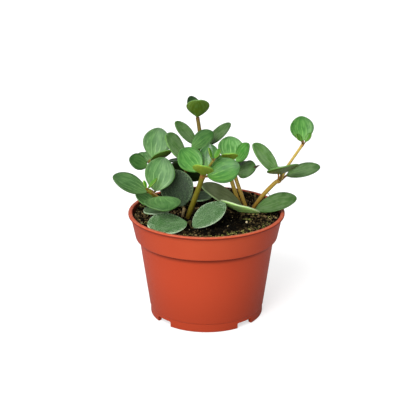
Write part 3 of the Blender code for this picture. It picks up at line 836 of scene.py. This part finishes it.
def blade_ring(share, length, width, cup, curl, stalk_radius, seed):
    """A cross-section of the blade in its own frame: +X ahead, +Y left, +Z the upper face."""
    half_curl = math.radians(curl if abs(curl) > 0.1 else 0.1) / 2
    lean = half_curl * (2 * share - 1)
    arc = length / (2 * math.sin(half_curl))
    up = Vector((-math.sin(lean), 0.0, math.cos(lean)))
    left = Vector((0.0, 1.0, 0.0))
    middle = Vector((
        arc * (math.sin(lean) + math.sin(half_curl)), 0.0,
        -arc * (math.cos(lean) - math.cos(half_curl)),
    ))
    half = max(blade_half_width(share, width), stalk_radius)
    bow = math.radians(max(cup, 1.0))
    flat = ease(0.0, BLADE_START, share * length)
    ring = []
    for across, face in circle(LEAF_AROUND):
        angle = bow * across
        spot = middle + (left * math.sin(angle) + up * (1 - math.cos(angle))) * (half / bow)
        out = up * math.cos(angle) - left * math.sin(angle)
        fleshy = 0.5 * BLADE_THICK * rounded(half * (1 - abs(across)))
        fleshy *= rounded((1 - share) * length)
        if face < 0:
            keel = KEEL * math.exp(-((half * across / KEEL_REACH) ** 2)) * (1 - share) ** 2
            fleshy += keel * abs(face)
        else:
            furrow = FURROW * math.exp(-((half * across / FURROW_REACH) ** 2)) * (1 - share)
            fleshy -= furrow * abs(face)
        thick = stalk_radius * abs(face) * (1 - flat) + fleshy * flat
        sway = noise.noise(Vector((share * 1.7, across * 1.3, seed * 5.7))) * WAVE * flat
        sway *= 0.35 + 0.65 * abs(across)
        spot = spot + out * (math.copysign(thick, face) + sway * min(half / 6, 1.0))
        ring.append((spot, Vector((share, across, face))))
    return ring


# %% [markdown]
# The stalk bends from the side of its stem up into the blade. Its middle follows a Bezier curve
# that leaves the stem straight out and meets the blade in line, and it starts inside the stem, so
# that no gap shows.


# %% The stalk and the whole leaf
def leaf_turn(azimuth, rise, roll):
    return (
        Matrix.Rotation(math.radians(azimuth), 4, "Z")
        @ Matrix.Rotation(math.radians(-rise), 4, "Y")
        @ Matrix.Rotation(math.radians(-roll), 4, "X")
    )


def stalk_rings(start, away, ahead, radius):
    """Rings from inside the stem to where the blade starts."""
    rings = []
    reach = start.length / 3
    one, two = start + away * reach, -ahead * reach
    left = Vector((0.0, 1.0, 0.0))
    for row in range(STALK_ROWS):
        t = row / STALK_ROWS
        rest = 1 - t
        middle = start * rest**3 + 3 * one * t * rest**2 + 3 * two * t**2 * rest
        along = away.lerp(ahead, t).normalized()
        side = (left - along * left.dot(along)).normalized()
        up = along.cross(side)
        thick = radius * (1.25 - 0.25 * ease(0.0, 0.5, t))
        rings.append([
            (middle + (side * over + up * high) * thick, Vector((t - 1.0, over, high)))
            for over, high in circle(LEAF_AROUND)
        ])
    return rings


def leaf_body(whorl, row, seed):
    offset, azimuth, rise, roll, length, width, cup, curl, _, tone_and_light = row
    *middle, stem_radius = WHORLS[whorl]
    offset = Vector(offset)
    out = Vector((offset.x, offset.y, 0.0)).normalized()
    turn = leaf_turn(azimuth, rise, roll)
    back = turn.inverted().to_3x3()
    radius = STALK_RADIUS if width > BUD_WIDTH else BUD_STALK_RADIUS
    start = back @ (out * stem_radius * STALK_DEPTH - offset)
    half_curl = math.radians(curl) / 2
    ahead = Vector((math.cos(half_curl), 0.0, -math.sin(half_curl)))
    rings = stalk_rings(start, back @ out, ahead, radius)
    for step in range(LEAF_ROWS + 1):
        share = TIP_SHARE * (1 - math.cos(math.pi * step / LEAF_ROWS)) / 2
        rings.append(blade_ring(share, length, width, cup, curl, radius, seed))
    bm = rolled_tube(rings, "blade")
    place = Matrix.Translation(Vector(middle) + offset) @ turn
    bmesh.ops.transform(bm, matrix=place, verts=bm.verts)
    # The leaf's tone, partly its own colour and partly painted light and shade, is kept on every
    # corner.
    layer = bm.verts.layers.float_color.new("tone_and_light")
    for vert in bm.verts:
        vert[layer] = (tone_and_light, tone_and_light, tone_and_light, 1.0)
    return bm


seed = 0
for whorl, leaves in LEAVES.items():
    for name, row in leaves.items():
        finish = LEAF_FINISHES[row[-2]]
        leaf_bm = leaf_body(whorl, row, seed)
        finish_piece("living_leaf_" + name, leaf_bm, finish, ["leaf_" + name], 1)
        seed += 1
print(seed, "leaves")

# %% [markdown]
# ## A dried tip
#
# The dull leaf behind the golden stems has a small spike of dried skin at its tip. It is a short
# tapering tube in the leaf's own frame, placed as the leaf is.

# %% The dried tip
SPIKE = (
    (13.2, 0.2, 0.0, 1.2), (14.6, 0.4, 0.2, 0.9), (16.0, 0.7, 0.5, 0.6), (17.4, 0.5, 0.3, 0.3),
)
DRIED_LEAF = "right_short_right"

offset, *turns = LEAVES["right_short"][DRIED_LEAF][:4]
dried_root = Vector(WHORLS["right_short"][:3]) + Vector(offset)
spike_place = Matrix.Translation(dried_root) @ leaf_turn(*turns)
spike_bm = rolled_tube(stem_rings(SPIKE, []), "grown")
bmesh.ops.transform(spike_bm, matrix=spike_place, verts=spike_bm.verts)
print("dried tip faces:", len(spike_bm.faces))
finish_piece(
    "dried_tip", spike_bm, STEM_FINISHES["buried stem"], ["leaf_" + DRIED_LEAF], 1
)

# %% [markdown]
# ## The pot
#
# The pot is injection-moulded plastic in a terracotta colour. Its outline, from the floor out over
# the foot, up the body, out to the collar, over the rolled lip and back down inside, is drawn once
# as a chain of points and spun round the axis. Then the ring edges at its corners are bevelled,
# because moulded plastic has no sharp corners.

# %% The pot's outline, spun and bevelled
POT_PROFILE = (
    (0.0, 3.4), (36.0, 3.4), (37.0, 0.0), (39.6, 0.0), (39.6, 5.9), (40.1, 6.5),
    (46.7, 55.6), (49.2, 56.2), (52.4, 71.8), (54.0, 72.4), (54.0, 74.0), (51.2, 74.0),
    (47.9, 57.5), (45.4, 54.9), (38.8, 5.7), (37.8, 4.7), (0.0, 4.7),
)
ROUND_CORNERS = {
    3: 0.5, 4: 0.25, 5: 0.25, 6: 0.3, 7: 0.6, 8: 0.4, 9: 0.55, 10: 0.75, 11: 0.6, 12: 1.0,
    13: 0.8, 14: 0.5,
}
POT_SIDES = 160
MERGE = 1e-4
ON_RING = 0.01


def spun(profile, sides):
    """A closed solid of revolution from (radius, height) points that start and end on the axis."""
    bm = bmesh.new()
    chain = [bm.verts.new((radius, 0.0, height)) for radius, height in profile]
    for pair in zip(chain, chain[1:]):
        bm.edges.new(pair)
    bmesh.ops.spin(
        bm, geom=bm.verts[:] + bm.edges[:], cent=(0, 0, 0), axis=(0, 0, 1), angle=math.tau,
        steps=sides, use_merge=True,
    )
    bmesh.ops.remove_doubles(bm, verts=bm.verts, dist=MERGE)
    return bm


def rounded_off(bm, edges, size):
    bmesh.ops.bevel(
        bm, geom=edges, offset=size, segments=3, profile=0.5, affect="EDGES",
        offset_type="OFFSET", material=-1,
    )


def on_ring(spot, radius, height):
    apart = math.hypot(spot.x, spot.y) - radius
    return abs(apart) < ON_RING and abs(spot.z - height) < ON_RING


pot_bm = spun(POT_PROFILE, POT_SIDES)
for corner, size in ROUND_CORNERS.items():
    ring = POT_PROFILE[corner]
    edges = [edge for edge in pot_bm.edges if all(on_ring(v.co, *ring) for v in edge.verts)]
    rounded_off(pot_bm, edges, size)
bmesh.ops.recalc_face_normals(pot_bm, faces=pot_bm.faces)
print("pot faces before cutting:", len(pot_bm.faces))

# %% [markdown]
# Four notches in the foot ring let water run out, and holes in the floor drain the soil. Each is
# cut with a Boolean modifier and a helper object, and the result is kept as a plain mesh.

# %% Cutting the notches and the drain holes
NOTCHES = 4
NOTCH_TURN = -48
NOTCH_SIZE = (13.0, 12.0, 7.8)
NOTCH_ROUND = 0.9
FOOT_RADIUS = 39.6
HOLES = 6
HOLE_RADIUS = 3.5
HOLE_REACH = 27.0
HOLE_DEPTH = 30.0


def notch_block(bm, turn):
    """A block at the foot ring, with the upper edges that point to the axis rounded."""
    place = turn @ Matrix.Translation((0, -FOOT_RADIUS, 0))
    made = bmesh.ops.create_cube(
        bm, size=1.0, matrix=place @ Matrix.Diagonal((*NOTCH_SIZE, 1.0))
    )
    level = turn.inverted()
    inward = []
    for edge in {e for v in made["verts"] for e in v.link_edges}:
        start, end = (v.co for v in edge.verts)
        if start.z > 0 and end.z > 0 and abs((level @ start).x - (level @ end).x) < 1:
            inward.append(edge)
    rounded_off(bm, inward, NOTCH_ROUND)


def cutters():
    bm = bmesh.new()
    for notch in range(NOTCHES):
        angle = math.radians(NOTCH_TURN + 360 / NOTCHES * notch)
        notch_block(bm, Matrix.Rotation(angle, 4, "Z"))
    for hole in range(HOLES):
        turn = Matrix.Rotation(math.tau * hole / HOLES, 4, "Z")
        bmesh.ops.create_cone(
            bm, cap_ends=True, segments=28, radius1=HOLE_RADIUS, radius2=HOLE_RADIUS,
            depth=HOLE_DEPTH, matrix=turn @ Matrix.Translation((HOLE_REACH, 0, 0)),
        )
    return bm


def cut_by(bm, tool_bm):
    """The mesh left when the tool's solid is taken away from it."""
    made = []
    for name, part in (("blank", bm), ("tool", tool_bm)):
        mesh = bpy.data.meshes.new(name)
        part.to_mesh(mesh)
        part.free()
        made.append(add_to_scene(name, mesh))
    boolean = made[0].modifiers.new("cut", "BOOLEAN")
    boolean.object = made[1]
    boolean.operation = "DIFFERENCE"
    bpy.context.view_layer.update()
    graph = bpy.context.evaluated_depsgraph_get()
    result = bmesh.new()
    result.from_mesh(made[0].evaluated_get(graph).to_mesh())
    for leftover in made:
        bpy.data.objects.remove(leftover, do_unlink=True)
    return result


pot_bm = cut_by(pot_bm, cutters())
print("pot faces:", len(pot_bm.faces))

# %% [markdown]
# ## Terracotta plastic
#
# The plastic is an even orange red with a satin skin. Up close it has a very fine grain from the
# mould, faint clouds in the colour, paler scuffs on the lip that also paint its highlight, and
# soil on the inner wall. Painted shade darkens it towards its outline, below the collar and
# towards the foot, and painted shadows lie under the lip and at the step below the collar. All but
# the outline shade follow Object coordinates.

# %% The pot's finish
plastic, tree, shader = new_finish("terracotta plastic")
spot = object_place(tree)
height = put(tree, "SeparateXYZ", Vector=spot).outputs["Z"]
patches = use_group(tree, mottle, Cloud_size_mm=30.0, Grain_size_mm=0.8)
flow = put(tree, "Mapping", Vector=spot, Scale=(260.0, 260.0, 12.0)).outputs["Vector"]
streaks = soft_noise(flow, 1.0, 2.0)
scuffs = soft_noise(spot, 420.0, 4.0, 0.7)
# Painted shade: the colour darkens where the wall turns away from the view, at the pot's outline.
grazing_shade = put(tree, "LayerWeight", Blend=0.35).outputs["Facing"]


def band(low, high, to_low=0.0, to_high=1.0):
    """A share that changes between two heights on the pot, in millimetres."""
    return spread(height, low * MM, high * MM, to_low, to_high)


flat = put(tree, "VectorMath", {"operation": "MULTIPLY"}, s0=spot, s1=(1.0, 1.0, 0.0))
reach = put(
    tree, "VectorMath", {"operation": "DISTANCE"}, s0=flat.outputs["Vector"], s1=POT_AXIS
)
from_axis = sums("SUBTRACT", reach.outputs["Value"], times(height, 0.2))
inner_wall = times(spread(from_axis, 37.3 * MM, 36.6 * MM), band(57.5, 60.0))
soiled = times(inner_wall, spread(scuffs, 0.62, 0.4, 0.55, 0.96))
# Painted shade: the body below the collar is painted darker than the collar.
shaded_below_collar = band(57.0, 54.5)
# Painted shadow: a dark band in the step below the collar.
step_shadow = times(band(52.0, 55.4), band(56.1, 55.6))
# Painted shadow: a dark line under the lip.
lip_shadow = times(band(72.2, 72.6), band(73.6, 73.3))
# Paler scuffs on the lip's top, partly a painted highlight.
lip_scuffs_and_highlight = times(spread(scuffs, 0.4, 0.65, 0.35, 1.0), band(73.6, 73.98))
colour = coats(
    (197, 81, 48),
    (times(patches["Clouds"], 0.5), (189, 73, 41)),
    (spread(streaks, 0.5, 0.8, 0.0, 0.16), (196, 80, 48)),
    (times(grazing_shade, 0.9), (164, 44, 12)),
    (times(shaded_below_collar, 0.8), (183, 65, 35)),
    # painted shade: the pot grows darker towards the foot
    (band(42.0, 0.0, 0.0, 0.8), (158, 56, 30)),
    (times(step_shadow, 0.7), (84, 22, 8)),
    (times(lip_shadow, 0.8), (104, 30, 14)),
    (times(lip_scuffs_and_highlight, 0.45), (206, 140, 112)),
    (times(soiled, band(74.0, 72.2, 0.15, 1.0)), (22, 12, 8)),
)
dress(
    shader, colour, spread(patches["Grain"], 0.0, 1.0, 0.42, 0.52),
    height=patches["Grain"], strength=0.12, depth=0.05, Specular_IOR_Level=0.16,
)
finish_piece("moulded_pot", pot_bm, plastic, ["pot"], sharp=40)

# %% [markdown]
# ## The potting mix
#
# The soil's surface is peat: dark, lumpy, and nearly level, a little higher along the wall. It is
# spun as a disc with sides, then every corner of its top is lifted by layers of noise. Cell noise
# gives rounded lumps and soft noise gives the larger unevenness.

# %% The bed of soil
SOIL_MIDDLE = 69.2
SOIL_EDGE = 70.5
SOIL_RADIUS = 50.2
SOIL_STEPS = 78
SOIL_SIDES = 420


def soil_level(x, y):
    """The soil's smooth height, in millimetres, as in the CAD model."""
    reach = math.hypot(x, y) / 50.0
    uneven = math.sin(0.17 * x + 1.3) * math.cos(0.21 * y - 0.4)
    heaped = 2.4 * max((y - 14.0) / 36.0, 0.0)
    heaped += ease(42, 50, math.hypot(x, y)) * (0.5 + 1.3 * ease(-10, 30, y))
    return SOIL_MIDDLE + (SOIL_EDGE - SOIL_MIDDLE) * reach**6 + 0.5 * uneven + heaped


def lumps(x, y, size):
    """Rounded lumps about size millimetres across: 1 on top of a lump and 0 between them."""
    near = noise.voronoi(Vector((x / size, y / size, size)))[0]
    return max(1 - near[0] * 1.5, 0.0)


def soil_height(x, y):
    rough = 0.75 * lumps(x, y, 3.4) + 0.5 * lumps(x + 40, y, 1.7) + 0.3 * lumps(x, y + 40, 0.95)
    slow = 0.5 * noise.noise(Vector((x / 9, y / 9, 3.0)))
    return soil_level(x, y) + rough + slow - 0.75


bed = [(0.0, 40.0), (44.0, 40.0), (SOIL_RADIUS - 3.2, 57.6)]
bed += [(SOIL_RADIUS * (1 - step / SOIL_STEPS), SOIL_EDGE) for step in range(SOIL_STEPS)]
soil_bm = spun(bed + [(0.0, SOIL_EDGE)], SOIL_SIDES)
for vert in soil_bm.verts:
    if vert.co.z > SOIL_MIDDLE - 1:
        vert.co.z = soil_height(vert.co.x, vert.co.y)
bmesh.ops.recalc_face_normals(soil_bm, faces=soil_bm.faces)
print("soil faces:", len(soil_bm.faces))

# %% [markdown]
# Peat is near black when moist, with brown fibres in it. Here it is darker in the middle, partly
# as moist peat and partly as painted shade under the leaves, and drier and paler towards the rim,
# so one more group says how dry and unshaded a place is, with a ragged edge. The finish mixes
# paler bits into the peat, and small green-yellow flecks of moss where it is dry.

# %% The peat's finish
# The darkest place is partly damp peat and partly painted shade under the leaves.
WET_AND_SHADED_PLACE = (POT_AXIS.x + 4 * MM, POT_AXIS.y - 12 * MM, 70 * MM)
WET_AND_SHADED_REACH = 18 * MM
DRY_AND_LIT_REACH = 46 * MM

damp_and_shaded, _, out = new_group("damp_and_shaded", gives=("Dry",))
place = object_place(damp_and_shaded)
apart = put(damp_and_shaded, "VectorMath", {"operation": "DISTANCE"}, s0=place, s1=WET_AND_SHADED_PLACE)
ragged = times(soft_noise(place, 110.0, 1.0), 16 * MM)
reach = sums("ADD", apart.outputs["Value"], ragged)
fill(out, Dry=spread(reach, WET_AND_SHADED_REACH, DRY_AND_LIT_REACH))

peat, tree, shader = new_finish("moist peat")
spot = object_place(tree)
dry_and_lit = use_group(tree, damp_and_shaded)["Dry"]
patches = use_group(tree, mottle, Cloud_size_mm=2.4, Grain_size_mm=0.6)
moss = spread(soft_noise(spot, 620.0, 2.0), 0.58, 0.7)
where = spread(soft_noise(spot, 75.0, 1.0), 0.5, 0.65)
mossy = times(times(moss, where), dry_and_lit)
colour = coats(
    (6, 4, 3),
    (patches["Clouds"], (30, 21, 13)),
    (spread(patches["Grain"], 0.55, 0.9, 0.0, 0.8), (78, 60, 38)),
    # Painted shade mixed with damp: the bed turns near black towards the middle.
    (spread(dry_and_lit, 0.0, 1.0, 0.9, 0.0), (8, 5, 3)),
    (times(mossy, 0.5), (110, 106, 54)),
)
dress(
    shader, colour, 0.9, height=patches["Grain"], strength=0.6, depth=0.3,
    Specular_IOR_Level=0.04,
)
finish_piece("bed_of_soil", soil_bm, peat, ["soil"])

# %% [markdown]
# ## Crumbs, moss, perlite and fibres
#
# What makes soil look like soil is loose stuff on it. Small rough crumbs of peat, tiny cushions of
# moss, a few pale grains of perlite and some thin root fibres lie about. Each is a low ball or a
# thin tube of a few dozen faces, squashed, turned and dropped on the bed at a seeded random place.

# %% Loose bits on the soil
SEED = 20
DROP_REACH = 50

dice = random.Random(SEED)


def crumb_kind(name, dark, light, size, damp_and_shade_share):
    """A dull finish for loose bits, each of which has its own shade between the two colours."""
    made, tree, shader = new_finish(name)
    own = put(tree, "Attribute", {"attribute_name": "shade"}).outputs["Fac"]
    patches = use_group(tree, mottle, Cloud_size_mm=size * 2, Grain_size_mm=size)
    varied = times(own, spread(patches["Clouds"], 0.0, 1.0, 0.55, 1.15))
    # The bits darken with the bed towards the middle: partly damp, partly painted shade.
    damp_and_shade = spread(use_group(tree, damp_and_shaded)["Dry"], 0.0, 1.0, damp_and_shade_share, 0.0)
    dress(
        shader, coats(dark, (varied, light), (damp_and_shade, dark)),
        roughness=spread(patches["Grain"], 0.0, 1.0, 0.75, 0.95),
        height=patches["Grain"], strength=0.5, depth=0.15, Specular_IOR_Level=0.06,
    )
    return made


CRUMBS = {
    "peat": crumb_kind("peat crumbs", (6, 5, 3), (158, 134, 90), 0.5, 0.94),
    "moss": crumb_kind("moss cushions", (44, 52, 16), (188, 186, 104), 0.3, 0.3),
    "perlite": crumb_kind("perlite grains", (140, 122, 86), (222, 206, 168), 0.5, 0.2),
}

ball = bmesh.new()
bmesh.ops.create_icosphere(ball, subdivisions=1, radius=1.0)
ball.verts.index_update()
BALL_CORNERS = [vert.co.copy() for vert in ball.verts]
BALL_FACES = [[vert.index for vert in face.verts] for face in ball.faces]
ball.free()


def drop_bit(bm, x, y, size, flatness, shade, lift=0.4, stretch=1.0):
    """One rough little ball on the soil, turned and squashed, with its own shade."""
    layer = bm.verts.layers.float.get("shade") or bm.verts.layers.float.new("shade")
    turn = Matrix.Rotation(dice.uniform(0, math.tau), 4, "Z")
    tip = Matrix.Rotation(dice.uniform(-0.6, 0.6), 4, "Y")
    shape = Matrix.Diagonal((size * stretch, size * dice.uniform(0.6, 1.0), size * flatness, 1.0))
    place = Matrix.Translation((x, y, soil_height(x, y) + size * flatness * lift))
    whole = place @ turn @ tip @ shape
    corners = []
    for corner in BALL_CORNERS:
        rough = Vector([dice.uniform(-0.24, 0.24) * size for _ in range(3)])
        corners.append(bm.verts.new(whole @ corner + rough))
        corners[-1][layer] = shade
    for face in BALL_FACES:
        bm.faces.new([corners[index] for index in face])


def scatter(bm, count, small, large, where, flatness, stretch=1.0):
    """Drops bits all over the soil: where(x, y) is how likely a place is, from 0 to 1."""
    dropped = 0
    while dropped < count:
        x, y = dice.uniform(-DROP_REACH, DROP_REACH), dice.uniform(-DROP_REACH, DROP_REACH)
        size = small + (large - small) * dice.random() ** 2
        if math.hypot(x, y) > SOIL_RADIUS - size or dice.random() > where(x, y):
            continue
        drop_bit(bm, x, y, size, flatness, dice.random() ** 3.5, stretch=dice.uniform(1, stretch))
        dropped += 1


def finish_bits(name, bm, kind):
    print(name, "faces:", len(bm.faces))
    finish_piece(name, bm, CRUMBS[kind], ["soil"])


# %% [markdown]
# Moss grows in small cushions. Each patch is a place, a reach and a number of flecks; the flecks
# lie thickest at its middle. Most patches follow the front and the right of the rim.

# %% Crumbs of peat, moss and perlite
CRUMBS_ALL_OVER = 4200
CRUMBS_AT_RIM = 1500
PERLITE_GRAINS = 150
# The large grains that show: place, size, flatness, shade and lift.
BIG_GRAINS = (
    (27.2, -13.6, 1.2, 0.8, 1.0, 1.0), (26.6, -11.6, 0.7, 0.8, 0.6, 1.6),
    (14.6, -20.6, 1.0, 0.9, 0.12, 0.8),
)
MOSS_PATCHES = (
    (-1.0, -42.0, 6.0, 70), (9.0, -40.0, 7.0, 150), (19.6, -34.5, 7.0, 190),
    (28.0, -33.0, 6.0, 110), (36.0, -26.0, 6.0, 80), (28.5, -6.5, 2.6, 70),
    (34.0, 2.5, 3.0, 30), (42.0, -16.0, 4.5, 60), (45.0, -5.0, 3.5, 50),
    (-11.0, -36.5, 4.0, 24), (-24.0, -36.0, 6.0, 30), (-42.1, 3.5, 2.6, 30),
    (-45.5, 15.0, 3.0, 20), (-40.0, -14.0, 4.0, 20), (2.0, 40.0, 7.0, 40), (-30.0, 36.0, 6.0, 30),
)

crumbs_bm = bmesh.new()
scatter(crumbs_bm, CRUMBS_ALL_OVER, 0.25, 1.3, lambda x, y: 1.0, 0.8, stretch=1.6)
scatter(crumbs_bm, CRUMBS_AT_RIM, 0.3, 1.1, lambda x, y: ease(36, 48, math.hypot(x, y)), 0.8)
finish_bits("peat_crumbs", crumbs_bm, "peat")
moss_bm = bmesh.new()
for patch_x, patch_y, reach, count in MOSS_PATCHES:
    for _ in range(count):
        x, y = dice.gauss(patch_x, reach / 2), dice.gauss(patch_y, reach / 2)
        if math.hypot(x, y) < SOIL_RADIUS - 0.8:
            drop_bit(moss_bm, x, y, dice.uniform(0.25, 0.65), 0.7, dice.random(), lift=1.2)
finish_bits("moss_cushions", moss_bm, "moss")
perlite_bm = bmesh.new()
scatter(perlite_bm, PERLITE_GRAINS, 0.22, 0.6, lambda x, y: 0.3 + 0.7 * ease(15, -30, y), 0.7)
for grain in BIG_GRAINS:
    drop_bit(perlite_bm, *grain)
finish_bits("perlite_grains", perlite_bm, "perlite")

# %% [markdown]
# Thin root fibres lie across the peat. Each is a tube that wanders a few millimetres over the bed
# and changes its heading a little at every step. A loop of dark root stands up at the right of
# the back rim.

# %% Root fibres
FIBRES = 46
FIBRE_REACH = 44
FIBRE_STEPS = 4
FIBRE_STEP = 1.6
FIBRE_SIDES = 5
FIBRE_BENDS = 5
ROOT_LOOP = (
    (41.2, 27.0, 72.0), (41.6, 27.6, 75.0), (42.6, 28.0, 77.2), (44.2, 28.0, 76.8),
    (45.6, 27.6, 74.2), (46.0, 27.2, 72.0),
)
ROOT_LOOP_RADIUS = 0.26


def fibre_rings(points, radius):
    route = smooth_route(points, FIBRE_BENDS)
    rings = []
    for index, (middle, ahead) in enumerate(zip(route, headings(route))):
        turn = ahead.to_track_quat("Z", "Y")
        rings.append([
            (middle + turn @ Vector((over, high, 0.0)) * radius, Vector((index, 0.0, 0.0)))
            for over, high in circle(FIBRE_SIDES)
        ])
    return rings


routes = [(ROOT_LOOP_RADIUS, ROOT_LOOP)]
for _ in range(FIBRES):
    x, y = dice.uniform(-FIBRE_REACH, FIBRE_REACH), dice.uniform(-FIBRE_REACH, FIBRE_REACH)
    if math.hypot(x, y) > FIBRE_REACH:
        continue
    heading = dice.uniform(0, math.tau)
    points = []
    for _ in range(FIBRE_STEPS):
        points.append((x, y, soil_height(x, y) + dice.uniform(0.1, 0.7)))
        heading += dice.uniform(-0.8, 0.8)
        x += FIBRE_STEP * math.cos(heading)
        y += FIBRE_STEP * math.sin(heading)
    routes.append((dice.uniform(0.1, 0.2), points))

fibres_bm = bmesh.new()
for radius, points in routes:
    one = rolled_tube(fibre_rings(points, radius), "blade")
    holder = bpy.data.meshes.new("one fibre")
    one.to_mesh(holder)
    one.free()
    fibres_bm.from_mesh(holder)
    bpy.data.meshes.remove(holder)
finish_bits("root_fibres", fibres_bm, "peat")
